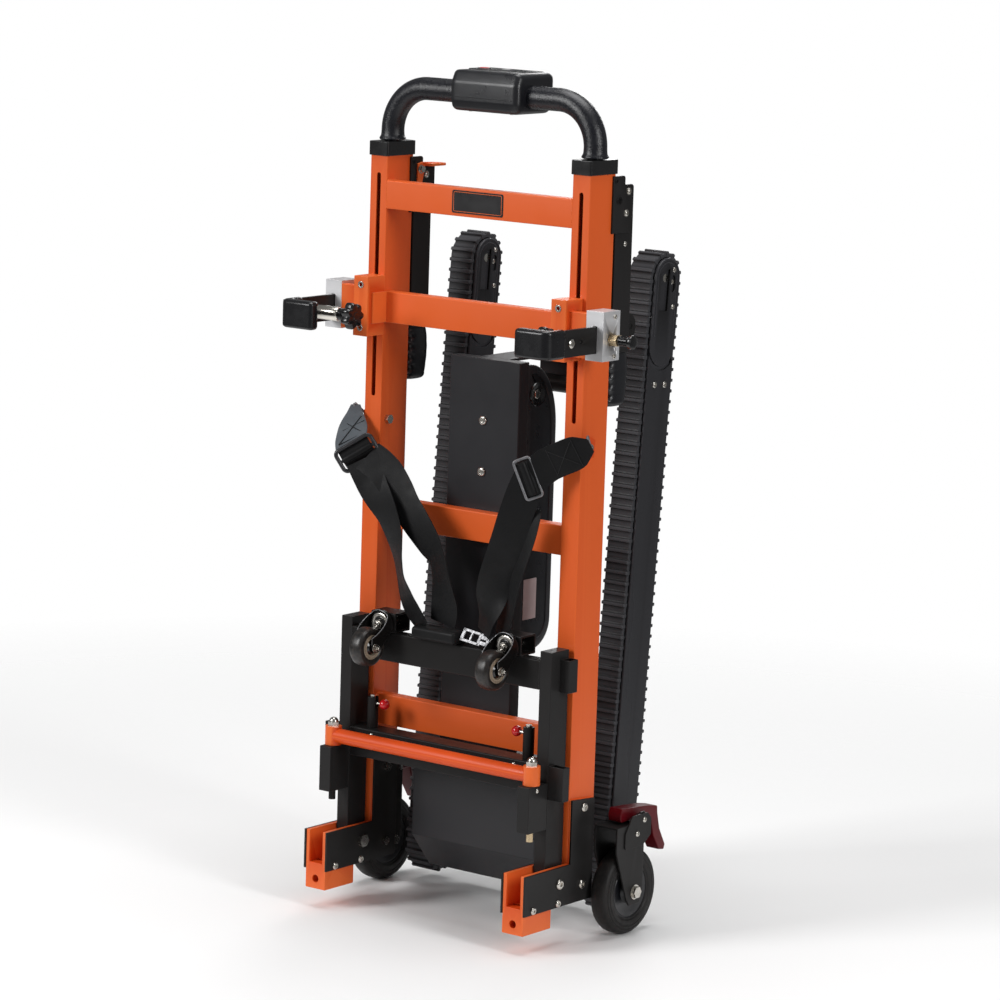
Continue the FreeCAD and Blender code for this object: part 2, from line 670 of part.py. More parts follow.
def release_lever():
    """Small bent thumb lever beside the left rear bracket."""
    inner = UPRIGHT_X - UPRIGHT_W / 2 - 3
    x = (-inner + 0.5, -inner + 3.5)
    arm = plate_yz([(62, 1030), (71, 1028), (78, 1056), (110, 1056), (110, 1060), (72, 1062), (62, 1060)], x)
    tab = box((x[0], x[1] + 12), (78, 110), (1056, 1060))
    arm = arm.fuse(tab).removeSplitter()
    return arm.cut(cylinder(3.05, (x[0] - 1, 68, 1052), (x[1] + 1, 68, 1052)))


def release_pin():
    inner = UPRIGHT_X - UPRIGHT_W / 2 - 3
    pin = cylinder(3.0, (-inner, 68, 1052), (-inner + 4, 68, 1052))
    return pin.fuse(cylinder(5.5, (-inner + 4, 68, 1052), (-inner + 7, 68, 1052)))


# ---- handle -------------------------------------------------------------
def handle_path(low):
    """Inverted U through both legs, as one wire."""
    x = UPRIGHT_X
    bend = HANDLE_BEND
    top = HANDLE_TOP_Z
    turn = bend * (1 - math.sqrt(0.5))
    side = Vector(0, HANDLE_Y, 0)
    points = {
        "left_low": Vector(-x, 0, low), "left_high": Vector(-x, 0, top - bend),
        "left_mid": Vector(-x + turn, 0, top - turn), "left_end": Vector(-x + bend, 0, top),
        "right_end": Vector(x - bend, 0, top), "right_mid": Vector(x - turn, 0, top - turn),
        "right_high": Vector(x, 0, top - bend), "right_low": Vector(x, 0, low),
    }
    p = {name: point + side for name, point in points.items()}
    return [
        Part.LineSegment(p["left_low"], p["left_high"]).toShape(),
        Part.Arc(p["left_high"], p["left_mid"], p["left_end"]).toShape(),
        Part.LineSegment(p["left_end"], p["right_end"]).toShape(),
        Part.Arc(p["right_end"], p["right_mid"], p["right_high"]).toShape(),
        Part.LineSegment(p["right_high"], p["right_low"]).toShape(),
    ]


def sweep_round(edges, radius, start, direction):
    circle = Part.Wire(Part.makeCircle(radius, start, direction))
    return Part.Wire(edges).makePipeShell([circle], True, False)


def handle_bar():
    """Thin legs that telescope into the uprights, joined by the bent tube."""
    low = UPRIGHT_TOP + CAP_H + 1.0
    arch = sweep_round(handle_path(low), HANDLE_TUBE_R, Vector(-UPRIGHT_X, HANDLE_Y, low), Z_AXIS)
    leg = cylinder(LEG_R, (UPRIGHT_X, HANDLE_Y, LEG_BOTTOM), (UPRIGHT_X, HANDLE_Y, low))
    bore = cylinder(LEG_R - 2, (UPRIGHT_X, HANDLE_Y, LEG_BOTTOM - 1), (UPRIGHT_X, HANDLE_Y, low - 5))
    leg = leg.cut(bore)
    return arch.fuse([leg, mirror(leg)])


def handle_grip():
    """Two soft sleeves over the bends, each with a flared foot."""
    low = UPRIGHT_TOP + CAP_H + 1.2
    edges = handle_path(low)
    start = Vector(-UPRIGHT_X, HANDLE_Y, low)
    outer = sweep_round(edges, GRIP_R, start, Z_AXIS)
    inner = sweep_round(edges, HANDLE_TUBE_R, start, Z_AXIS)
    sleeve = outer.cut(inner)
    sleeve = sleeve.cut(box((-BOX_X, BOX_X), (-50, 120), (low, HANDLE_TOP_Z + 60)))
    collars = []
    for x in (-UPRIGHT_X, UPRIGHT_X):
        collar = Part.makeCone(GRIP_R + 3, GRIP_R, 11, Vector(x, HANDLE_Y, low), Z_AXIS)
        collars.append(collar.cut(cylinder(HANDLE_TUBE_R, (x, HANDLE_Y, low - 1), (x, HANDLE_Y, low + 12))))
    return sleeve.fuse(collars)


def control_box():
    body = box((-BOX_X, BOX_X), BOX_Y, BOX_Z)
    body = round_edges(body, 17, X_AXIS)
    inner = box((-BOX_X + 3, BOX_X - 3), (BOX_Y[0] + 3, BOX_Y[1] - 3), (BOX_Z[0] + 3, BOX_Z[1] - 3))
    inner = round_edges(inner, 14, X_AXIS)
    body = body.cut(inner)
    ends = [(x, HANDLE_Y, HANDLE_TOP_Z) for x in (-BOX_X - 1, BOX_X + 1)]
    body = body.cut(cylinder(HANDLE_TUBE_R, *ends))
    for opening in switch_openings():
        body = body.cut(opening)
    return body


def switch_openings():
    """Holes in the top of the control box for its two switches."""
    top = (BOX_Z[1] - 4, BOX_Z[1] + 1)
    round_hole = cylinder(POWER_R + FREE_GAP, (POWER_X, SWITCH_Y, top[0]), (POWER_X, SWITCH_Y, top[1]))
    half = ROCKER_W / 2 + FREE_GAP
    x = (ROCKER_X[0] - 1, ROCKER_X[1] + 1)
    return [round_hole, box(x, (SWITCH_Y - half, SWITCH_Y + half), top)]


def power_button():
    base = BOX_Z[1] - 6
    button = cylinder(POWER_R, (POWER_X, SWITCH_Y, base), (POWER_X, SWITCH_Y, BOX_Z[1] + 1.5))
    button = button.makeFillet(1.2, [button.Edges[0]])
    return button.fuse(cylinder(POWER_R + 2, (POWER_X, SWITCH_Y, base), (POWER_X, SWITCH_Y, base + 2)))


def drive_rocker():
    """Up and down rocker with a shallow V top, turning about its middle."""
    top = BOX_Z[1] + 1.5
    x = ROCKER_X
    middle = (x[0] + x[1]) / 2
    half = ROCKER_W / 2
    outline = [(x[0], top), (middle, top - 2.5), (x[1], top), (x[1] - 2, top - 8), (x[0] + 2, top - 8)]
    return plate_xz(outline, (SWITCH_Y - half, SWITCH_Y + half))


def control_board():
    """Circuit board below the switches, clear of the handle tube."""
    return box((-50, 50), (HANDLE_Y + 13, 74), (1180, 1182))


# ---- sliding crossbar ---------------------------------------------------
def slider_crossbar():
    end = 158.0
    bar_z = (SLIDER_BOTTOM, SLIDER_BOTTOM + SLIDER_H)
    bar = square_tube((-end, end), (0, BAR_DEPTH), bar_z, BAR_WALL, 0)
    solids = [round_edges(bar, 1.5, X_AXIS)]
    block = box((161.5, 187), (-BLOCK_DEPTH, -FREE_GAP), (BLOCK_LOW, BLOCK_HIGH))
    flange = box((end, 162.5), (-BLOCK_DEPTH + 8, BAR_DEPTH), bar_z)
    ear = box((187, 216), (-30, -18), (828, 890))
    carrier = block.fuse(flange).fuse(ear).removeSplitter()
    for z in bolt_heights():
        carrier = carrier.cut(cylinder(3.0, (UPRIGHT_X - 4, -BLOCK_DEPTH - 1, z), (UPRIGHT_X - 4, 0, z)))
    solids += pair(carrier)
    return group(solids)


def bolt_heights():
    return (BLOCK_LOW + 12, BLOCK_HIGH - 12)


def slider_bolts():
    """Guide bolts that run through the slots to a nut inside the uprights."""
    solids = []
    for z in bolt_heights():
        bolt = cylinder(3.0, (UPRIGHT_X, -FREE_GAP, z), (UPRIGHT_X, 9, z))
        nut = hex_prism((UPRIGHT_X, 4, z), (0, 1, 0), 12, 5)
        solids += pair(bolt.fuse(nut))
        x = UPRIGHT_X - 4
        head = cylinder(5.0, (x, -BLOCK_DEPTH - 1.2, z), (x, -BLOCK_DEPTH, z))
        head = head.cut(cylinder(2.6, (x, -BLOCK_DEPTH - 2, z), (x, -BLOCK_DEPTH + 2, z)))
        solids += pair(head)
    return solids


def arm_blocks():
    """Light alloy blocks that the two arms slide through."""
    block = box((216, 245), (-30, 8), (826, 894))
    gap = 0.35
    half = ARM_T / 2 + gap
    half_h = ARM_H / 2 + gap
    slot = box((ARM_X - half, ARM_X + half), (-31, 9), (ARM_Z - half_h, ARM_Z + half_h))
    block = block.cut(slot)
    block = block.cut(cylinder(4.0 + RUN_GAP, (ARM_X + 2, PLUNGER_Y, ARM_Z), (246, PLUNGER_Y, ARM_Z)))
    screws = []
    for z in (832, 886):
        screws.append(dome_bolt((245, -4, z), (1, 0, 0), 3.5, 1.5, 0))
    solids = pair(block)
    for screw in screws:
        solids += pair(screw)
    return group(solids + slider_bolts())


def hook_arm(sign):
    """Flat bar that runs forward and bends inwards behind the pad."""
    low = ARM_Z - ARM_H / 2
    high = ARM_Z + ARM_H / 2
    x = (ARM_X - ARM_T / 2, ARM_X + ARM_T / 2)
    bar = box(x, (ARM_FRONT, 8), (low, high))
    tip = box((184, x[1]), (ARM_FRONT, ARM_FRONT + ARM_T), (low, high))
    bar = bar.fuse(tip).removeSplitter()
    bar = bar.cut(cylinder(3.5 + RUN_GAP, (x[0] - 1, KNOB_Y, ARM_Z), (x[1] + 1, KNOB_Y, ARM_Z)))
    bar = bar.cut(cylinder(3.0, (x[0] - 1, -64, ARM_Z), (x[1] + 1, -64, ARM_Z)))
    return bar if sign > 0 else mirror(bar)


def arm_pad(sign):
    """Rubber shoe moulded over the bent end of an arm."""
    low = ARM_Z - ARM_H / 2 - 1.5
    high = ARM_Z + ARM_H / 2 + 1.5
    outer = ARM_X + ARM_T / 2 + 2.5
    shoe = box((177, outer), (ARM_FRONT - 6, ARM_FRONT + 12), (low, high))
    leg = box((outer - 11, outer), (ARM_FRONT - 6, -100), (low, high))
    shoe = shoe.fuse(leg).removeSplitter()
    shoe = shoe.cut(hook_arm(1))
    corner = [e for e in shoe.Edges if is_corner(e, outer, ARM_FRONT - 6)]
    shoe = shoe.makeFillet(8, corner)
    return shoe if sign > 0 else mirror(shoe)


def is_corner(edge, x, y):
    return len(edge.Vertexes) == 2 and all(abs(v.X - x) < 0.01 and abs(v.Y - y) < 0.01 for v in edge.Vertexes)


def star_knob(sign, reach):
    """Lobed knob on a threaded stud; reach is from the arm to the knob."""
    inner = ARM_X - ARM_T / 2
    knob_x = inner - reach
    stud = cylinder(3.5, (knob_x, KNOB_Y, ARM_Z), (ARM_X + ARM_T / 2, KNOB_Y, ARM_Z))
    stud = stud.fuse(dome_bolt((ARM_X + ARM_T / 2 + 0.3, KNOB_Y, ARM_Z), (1, 0, 0), 6.0, 3.5, 1))
    stud = stud.fuse(cylinder(8.0, (inner - 8, KNOB_Y, ARM_Z), (inner - 0.4, KNOB_Y, ARM_Z)))
    neck = cylinder(9.0, (knob_x - 6, KNOB_Y, ARM_Z), (knob_x, KNOB_Y, ARM_Z))
    head = cylinder(15.0, (knob_x - 22, KNOB_Y, ARM_Z), (knob_x - 6, KNOB_Y, ARM_Z))
    for i in range(7):
        angle = 2 * math.pi * i / 7
        y = KNOB_Y + 13.5 * math.cos(angle)
        z = ARM_Z + 13.5 * math.sin(angle)
        head = head.fuse(cylinder(5.5, (knob_x - 22, y, z), (knob_x - 6, y, z)))
    knob = group([stud, neck.fuse(head)])
    return knob if sign > 0 else mirror(knob)


def plunger(sign):
    """Spring plunger: locking pin, collar and pull knob."""
    pin = cylinder(4.0, (ARM_X + ARM_T / 2 + 0.8, PLUNGER_Y, ARM_Z), (262, PLUNGER_Y, ARM_Z))
    knob = cylinder(6.0, (262, PLUNGER_Y, ARM_Z), (274, PLUNGER_Y, ARM_Z))
    cap = cylinder(9.0, (274, PLUNGER_Y, ARM_Z), (284, PLUNGER_Y, ARM_Z))
    cap = cap.makeFillet(3.5, [cap.Edges[0], cap.Edges[2]])
    solid = pin.fuse(knob).fuse(cap)
    return solid if sign > 0 else mirror(solid)


def plunger_nuts():
    nut = hex_prism((245, PLUNGER_Y, ARM_Z), (1, 0, 0), 15, 13)
    return pair(nut.cut(cylinder(4.0 + RUN_GAP, (244, PLUNGER_Y, ARM_Z), (259, PLUNGER_Y, ARM_Z))))


# ---- folding platform ---------------------------------------------------
def platform_posts():
    """Posts with rounded feet, their side stubs and the push bar guides."""
    x = (UPRIGHT_X - POST_W / 2, UPRIGHT_X + POST_W / 2)
    y = (PIVOT_Y - POST_D / 2, PIVOT_Y + POST_D / 2)
    post = square_tube(x, y, (PIVOT_Z + 22, POST_TOP - 2), 2.5, 2)
    post = post.fuse(box(x, y, (POST_TOP - 2, POST_TOP)))
    foot = box(x, y, (PIVOT_Z, PIVOT_Z + 22))
    foot = foot.fuse(cylinder(POST_D / 2, (x[0], PIVOT_Y, PIVOT_Z), (x[1], PIVOT_Y, PIVOT_Z)))
    post = post.fuse(foot).removeSplitter()
    pivot = [(px, PIVOT_Y, PIVOT_Z) for px in (x[0] - 1, x[1] + 1)]
    post = post.cut(cylinder(PIVOT_PIN_R + RUN_GAP, *pivot))
    solids = [post]
    solids.append(square_tube((x[1], x[1] + 16), (-25, -5), (360, 406), 2, 2))
    solids.append(square_tube((x[1], x[1] + 26), (y[0], y[0] + 15), (211, 259), 2, 2))
    guide = box(x, (ROD_Y - 18, y[0]), (GUIDE_LOW, GUIDE_HIGH))
    hollow = box((x[0] + 2.5, x[1] - 2.5), (ROD_Y - 15.5, y[0] - 2.5), (GUIDE_LOW + 3, GUIDE_HIGH - 3))
    guide = guide.cut(hollow)
    rod = [(UPRIGHT_X, ROD_Y, z) for z in (GUIDE_LOW - 1, GUIDE_HIGH + 1)]
    guide = guide.cut(cylinder(ROD_R + FREE_GAP, *rod))
    solids.append(guide)
    both = []
    for solid in solids:
        both += pair(solid)
    return group(both)


def platform_crossbars():
    """Two crossbars, the caster mounts and the latch barrels."""
    end = UPRIGHT_X - POST_W / 2
    y, z, height = CASTER_BAR
    caster_bar = square_tube((-end, end), (y, y + BAR_DEPTH), (z, z + height), BAR_WALL, 0)
    mid = square_tube((-end, end), (y, y + MID_BAR_D), (MID_BAR_Z, MID_BAR_Z + MID_BAR_H), BAR_WALL, 0)
    solids = [round_edges(caster_bar, 2, X_AXIS), round_edges(mid, 2, X_AXIS)]
    top = z + height
    mount = square_tube((CASTER_X - 22, CASTER_X + 22), (y, y + 34), (top, top + 28), 3, 0)
    mount = round_edges(mount, 2.0, X_AXIS)
    mount = mount.cut(cylinder(5.95, (CASTER_X, y - 1, STEM_Z), (CASTER_X, y + 40, STEM_Z)))
    solids += pair(mount)
    barrel = cylinder(8.0, (LATCH_X, LATCH_Y, LATCH_LOW), (LATCH_X, LATCH_Y, LATCH_HIGH))
    barrel = barrel.cut(cylinder(4.9, (LATCH_X, LATCH_Y, LATCH_LOW + 2), (LATCH_X, LATCH_Y, LATCH_HIGH + 1)))
    window = box((LATCH_X - 10, LATCH_X), (LATCH_Y - 3, LATCH_Y + 3), (LATCH_HIGH - 14, LATCH_HIGH + 1))
    solids += pair(barrel.cut(window))
    return group(solids)


def latch_pin(sign):
    """Sprung latch pin with its ball handle."""
    pin = cylinder(4.4, (LATCH_X, LATCH_Y, LATCH_LOW + 4), (LATCH_X, LATCH_Y, LATCH_HIGH + 3))
    z = LATCH_HIGH - 9
    pin = pin.fuse(cylinder(2.5, (LATCH_X, LATCH_Y, z), (LATCH_BALL_X, LATCH_Y, z)))
    solid = pin.fuse(ball(7.5, (LATCH_BALL_X, LATCH_Y, z)))
    return solid if sign > 0 else mirror(solid)


def push_bar():
    ends = [(x, ROD_Y, PUSH_BAR_Z) for x in (-UPRIGHT_X, UPRIGHT_X)]
    tube = cylinder(PUSH_BAR_R, *ends)
    solid = tube.cut(cylinder(PUSH_BAR_R - 2, *ends))
    low = GUIDE_HIGH + 0.6
    for x in (-UPRIGHT_X, UPRIGHT_X):
        solid = solid.fuse(cylinder(BOSS_R, (x, ROD_Y, low), (x, ROD_Y, low + 27)))
        solid = solid.fuse(cylinder(ROD_R, (x, ROD_Y, ROD_TIP_Z), (x, ROD_Y, low)))
        nut = hex_prism((x, ROD_Y, low + 27), (0, 0, 1), 15, 6)
        dome = ball(6.8, (x, ROD_Y, low + 33))
        solid = solid.fuse(nut).fuse(dome)
    return solid


def caster_fork(sign):
    """Swivel fork: stem, head disc and two cheeks down to the axle."""
    front = CASTER_BAR[0]
    x = CASTER_X
    stem = cylinder(5.9, (x, front - 3, STEM_Z), (x, front + 33, STEM_Z))
    disc = cylinder(16.0, (x, front - 5, STEM_Z), (x, front - 0.5, STEM_Z))
    crown = box((x - 14.5, x + 14.5), (front - 8, front - 5), (STEM_Z - 14, STEM_Z + 12))
    solid = stem.fuse(disc).fuse(crown)
    outline = [
        (front - 5, STEM_Z + 12), (front - 10, STEM_Z + 15), (CASTER_AXLE_Y - 6, CASTER_AXLE_Z + 6),
        (CASTER_AXLE_Y - 6, CASTER_AXLE_Z - 6), (CASTER_AXLE_Y + 6, CASTER_AXLE_Z - 6),
        (front - 5, STEM_Z - 16),
    ]
    for low in (x - 14.5, x + 12):
        cheek = plate_yz(outline, (low, low + 2.5), [(CASTER_AXLE_Y, CASTER_AXLE_Z, 3.0)])
        solid = solid.fuse(cheek)
    axle = (CASTER_AXLE_Y, CASTER_AXLE_Z)
    pin = cylinder(3.0, (x - 16, *axle), (x + 16, *axle))
    solid = solid.fuse(pin)
    for side in (1, -1):
        solid = solid.fuse(hex_prism((x + side * 14.5, CASTER_AXLE_Y, CASTER_AXLE_Z), (side, 0, 0), 9, 4))
    solid = solid.fuse(hex_prism((x, front - 8, STEM_Z), (0, -1, 0), 13, 5))
    return solid if sign > 0 else mirror(solid)


def caster_wheel(sign):
    half = CASTER_W / 2
    bore = 3.0 + RUN_GAP
    tyre = [(-half, 17), (half, 17), (half, 20), (half - 3, CASTER_R - 1), (0, CASTER_R)]
    tyre += [(-half + 3, CASTER_R - 1), (-half, 20)]
    hub = [(-half, bore), (half, bore), (half, 7), (4, 9), (4, 14), (half - 1, 15), (half - 1, 17)]
    hub += [(-half + 1, 17), (-half + 1, 15), (-4, 14), (-4, 9), (-half, 7)]
    solids = [ring_of_revolution(outline, CASTER_AXLE_Y, CASTER_AXLE_Z, CASTER_X) for outline in (tyre, hub)]
    solid = group(solids)
    return solid if sign > 0 else mirror(solid)


# ---- load straps --------------------------------------------------------
def strap(stations):
    """Flat webbing through stations of (centre, width direction, face direction)."""
    wires = []
    for centre, across, normal in stations:
        c = Vector(*centre)
        a = Vector(*across).normalize() * (STRAP_W / 2)
        n = Vector(*normal)
        n = (n - a * (n.dot(a) / a.dot(a))).normalize() * (STRAP_T / 2)
        corners = [c - a - n, c + a - n, c + a + n, c - a + n]
        wires.append(Part.makePolygon(corners + [corners[0]]))
    return Part.makeLoft(wires, True, True)


LEFT_STRAP = [
    ((-206, -10, 684), (0.35, 0.55, 0.75), (-0.8, -0.5, 0.3)),
    ((-212, -24, 662), (0.75, -0.2, 0.55), (-0.45, -0.85, 0.2)),
    ((-190, -40, 610), (0.85, -0.15, 0.45), (-0.2, -0.95, 0)),
    ((-140, -46, 520), (0.85, -0.1, 0.5), (-0.1, -1, 0)),
    ((-84, -44, 462), (0.8, -0.3, 0.5), (-0.1, -0.9, 0.3)),
    ((-44, -36, 421), (0.15, 1, 0.1), (-0.3, -0.1, 1)),
    ((6, -34, 411), (0, 1, 0), (0, 0, 1)),
]
RIGHT_STRAP = [
    ((206, -12, 684), (-0.35, 0.5, 0.8), (0.8, -0.5, 0.3)),
    ((190, -30, 672), (-0.35, -0.15, 0.9), (0.3, -0.95, 0)),
    ((140, -44, 640), (-0.6, -0.2, 0.8), (0.1, -1, 0)),
    ((98, -48, 570), (0.95, 0, 0.25), (0, -1, 0.1)),
    ((80, -46, 480), (1, 0, 0.1), (0, -1, 0.1)),
    ((66, -40, 432), (0.9, 0.4, 0.1), (0, -0.8, 0.6)),
    ((30, -34, 412), (0.1, 1, 0), (0, 0, 1)),
]


def strap_ears():
    """Small plates bolted outside the uprights that hold the straps."""
    out = UPRIGHT_X + UPRIGHT_W / 2
    z = ANCHOR_Z
    outline = [(4, z - 14), (26, z - 14), (28, z + 10), (15, z + 16), (2, z + 10)]
    return pair(plate_yz(outline, (out, out + 3), [(ANCHOR_Y, z, 4.0)]))


# ---- export -------------------------------------------------------------
def build_nodes():
    fixed = {
        "left_upright": mirror(upright()),
        "right_upright": upright(),
        "frame_crossbars": frame_crossbars(),
        "upright_caps": upright_caps(),
        "foot_channels": group(pair(foot_channel())),
        "foot_plates": foot_plates(),
        "frame_fasteners": group(frame_fasteners() + strap_ears()),
        "left_track_housing": mirror(track_housing()),
        "right_track_housing": track_housing(),
        "left_track_belt": mirror(track_belt()),
        "right_track_belt": track_belt(),
        "track_fasteners": track_fasteners(),
        "track_cross_tube": track_cross_tube(),
        "drive_shaft": drive_shaft(),
        "track_sprockets": track_sprockets(),
        "track_idlers": track_idlers(),
        "central_cover": central_cover(),
        "battery_pack": battery_pack(),
        "key_switch": key_switch(),
        "gearbox_cover": gearbox_cover(),
        "gearbox": gearbox(),
        "drive_motor": drive_motor(),
        "wheel_brackets": wheel_brackets(),
        "lever_brackets": group(lever_brackets().Solids + [release_pin()]),
        "release_lever": release_lever(),
        "handle_bar": handle_bar(),
        "handle_grip": handle_grip(),
        "control_box": control_box(),
        "control_board": control_board(),
        "power_button": power_button(),
        "drive_rocker": drive_rocker(),
        "slider_crossbar": slider_crossbar(),
        "arm_blocks": group(arm_blocks().Solids + plunger_nuts()),
        "left_star_knob": star_knob(-1, 66.0),
        "right_star_knob": star_knob(1, 24.0),
        "platform_posts": platform_posts(),
        "platform_crossbars": platform_crossbars(),
        "push_bar": push_bar(),
        "left_strap": strap(LEFT_STRAP),
        "right_strap": strap(RIGHT_STRAP),
    }
    sided = {
        "wheel_tyre": wheel_tyre(),
        "wheel_hub": wheel_hub(),
        "brake_pedal": brake_pedal(),
    }
    for name, solid in sided.items():
        fixed["right_" + name] = solid
        fixed["left_" + name] = mirror(solid)
    makers = {
        "rear_lever": rear_lever, "hook_arm": hook_arm, "arm_pad": arm_pad, "plunger": plunger,
        "latch_pin": latch_pin, "caster_fork": caster_fork, "caster_wheel": caster_wheel,
    }
    for name, maker in makers.items():
        fixed["right_" + name] = maker(1)
        fixed["left_" + name] = maker(-1)
    return fixed


def main():
    os.makedirs("parts", exist_ok=True)
    low = [1e9] * 3
    high = [-1e9] * 3
    nodes = build_nodes()
    for name, solid in sorted(nodes.items()):
        placed = solid.copy()
        placed.translate(Vector(0, FRONT_FACE_Y, 0))
        bounds = placed.BoundBox
        low = [min(a, b) for a, b in zip(low, (bounds.XMin, bounds.YMin, bounds.ZMin))]
        high = [max(a, b) for a, b in zip(high, (bounds.XMax, bounds.YMax, bounds.ZMax))]
        if not placed.isValid():
            print("invalid solid:", name)
        placed.exportStep("parts/" + name + ".step")
    print(len(nodes), "nodes, low", [round(v, 2) for v in low], "high", [round(v, 2) for v in high])


main()
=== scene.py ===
"""Looks of a stair climbing hand truck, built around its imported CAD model."""
from math import acos, copysign, cos, degrees, pi, radians, sin, sqrt, tan

import bmesh
import bpy
from mathutils import Matrix, Vector


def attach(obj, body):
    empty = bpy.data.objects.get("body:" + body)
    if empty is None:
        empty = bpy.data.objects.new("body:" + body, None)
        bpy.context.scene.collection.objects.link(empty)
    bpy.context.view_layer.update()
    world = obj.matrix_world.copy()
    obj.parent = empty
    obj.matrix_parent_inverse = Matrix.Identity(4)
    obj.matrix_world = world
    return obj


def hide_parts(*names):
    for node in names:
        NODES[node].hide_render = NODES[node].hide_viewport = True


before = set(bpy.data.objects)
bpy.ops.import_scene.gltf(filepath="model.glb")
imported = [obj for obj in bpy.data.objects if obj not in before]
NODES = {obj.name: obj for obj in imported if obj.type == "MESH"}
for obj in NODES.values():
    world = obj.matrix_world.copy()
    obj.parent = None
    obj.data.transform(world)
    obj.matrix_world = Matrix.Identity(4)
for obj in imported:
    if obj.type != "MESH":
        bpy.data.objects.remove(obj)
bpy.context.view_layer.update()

# The numbers below are millimetres, with y from the front face of the uprights.
FRONT_FACE = -50.5
UPRIGHT_X = 178
HANDLE = (29, 1170)
TRACK_X = 159
TRACK_LOW = Vector((140, 54))
TRACK_HIGH = Vector((205, 918))
WHEEL = (219, 99, 62.5)
CASTER = (112, -80, 388)
CASTER_STEM_Z = 416.5
ARM_X = 231
ARM_Z = 855
SIDES = (("left", -1), ("right", 1))


def at(x, y, z):
    """Point in the frame, in metres."""
    return Vector((x, y + FRONT_FACE, z)) / 1000


def back_to_mm(point):
    """A place in the frame, in this file's millimetres."""
    return Vector((point.x * 1000, point.y * 1000 - FRONT_FACE, point.z * 1000))


# ---- materials ----
def plug(socket, value):
    """A constant put on a socket, or another node's output led into it."""
    if isinstance(value, bpy.types.NodeSocket):
        socket.id_data.links.new(value, socket)
    else:
        socket.default_value = value


def node(tree, kind, **values):
    """A shader node with some sockets or settings filled in."""
    made = tree.nodes.new("ShaderNode" + kind)
    for name, value in values.items():
        if name in made.inputs:
            plug(made.inputs[name], value)
        else:
            setattr(made, name, value)
    return made


def noise(tree, coords, scale, detail, stretch=(1, 1, 1)):
    """Noise in the object's own space; scale is features per metre."""
    place = node(tree, "Mapping", Scale=stretch, Vector=coords).outputs["Vector"]
    made = node(tree, "TexNoise", Vector=place, Scale=scale, Detail=detail, Roughness=0.55)
    return made.outputs["Fac"]


def spread(tree, value, low, high, start=0.3, end=0.7):
    """A value near 0 to 1 mapped to low to high."""
    made = node(tree, "MapRange", Value=value)
    for name, number in (("From Min", start), ("From Max", end), ("To Min", low), ("To Max", high)):
        plug(made.inputs[name], number)
    return made.outputs["Result"]


def mixed(tree, factor, colour_a, colour_b):
    """Colour between two, by a factor socket."""
    made = node(tree, "Mix", data_type="RGBA")
    for index, value in ((0, factor), (6, colour_a), (7, colour_b)):
        plug(made.inputs[index], (*value, 1) if isinstance(value, tuple) else value)
    return made.outputs[2]


def bump(tree, height, strength, distance):
    """Normal of a relief; distance is in metres."""
    return node(tree, "Bump", Height=height, Strength=strength, Distance=distance).outputs["Normal"]


def inside(made):
    """A material's node tree and its Principled shader."""
    made.use_nodes = True
    return made.node_tree, made.node_tree.nodes["Principled BSDF"]


def fill(shader, **values):
    """Puts values on the sockets named by them, with _ for each space."""
    for name, value in values.items():
        plug(shader.inputs[name.replace("_", " ")], value)


def material(name, colour, second, rough, patch=18, grain=900, relief=0.12, depth=0.0002,
             metal=0, stretch=(1, 1, 1), coat=0, edge_highlight=None, dust=0, sheen=0, specular=0.5):
    """Principled material with patchy colour, uneven gloss, a grain and a painted highlight on its sharp
    edges.

    Patch and grain are features per metre, and depth is in metres."""
    made = bpy.data.materials.new(name)
    tree, shader = inside(made)
    coords = node(tree, "TexCoord").outputs["Object"]
    patches = noise(tree, coords, patch, 4)
    base = mixed(tree, spread(tree, patches, 0, 1), colour, second)
    # Convex edges, found by pointiness, take a lighter colour: a painted highlight.
    if edge_highlight:
        pointed = node(tree, "NewGeometry").outputs["Pointiness"]
        edge = spread(tree, pointed, 0, 1, 0.515, 0.56)
        base = mixed(tree, edge, base, edge_highlight)
    if dust:
        fine = noise(tree, coords, 240, 5)
        base = mixed(tree, spread(tree, fine, 0, dust, 0.45, 0.75), base, (0.11, 0.085, 0.065))
    smears = noise(tree, coords, patch * 2.5, 5, stretch)
    grains = noise(tree, coords, grain, 2, stretch)
    fill(shader, Base_Color=base, Roughness=spread(tree, smears, rough * 0.85, rough * 1.2), Metallic=metal,
         Coat_Weight=coat, Coat_Roughness=0.12, Specular_IOR_Level=specular, Sheen_Weight=sheen,
         Normal=bump(tree, grains, relief, depth))
    return made


def woven(name, colour, second):
    """Webbing: ribs across the strap and a fine twill, from the strap's own coordinates."""
    made = material(name, colour, second, 0.5, 25, relief=0.1, sheen=0.02, specular=0.2)
    tree, shader = inside(made)
    uv = node(tree, "UVMap").outputs["UV"]
    product = node(tree, "Math", operation="MULTIPLY")
    for i, (direction, scale) in enumerate((("X", 190), ("Y", 150))):
        wave = node(tree, "TexWave", Vector=uv, Scale=scale, Distortion=0.4, bands_direction=direction)
        plug(product.inputs[i], wave.outputs["Fac"])
    weave = product.outputs[0]
    base = shader.inputs["Base Color"].links[0].from_socket
    tint = mixed(tree, spread(tree, weave, 0, 0.45, 0.1, 0.9), base, second)
    fill(shader, Base_Color=tint, Normal=bump(tree, weave, 0.35, 0.0004))
    return made
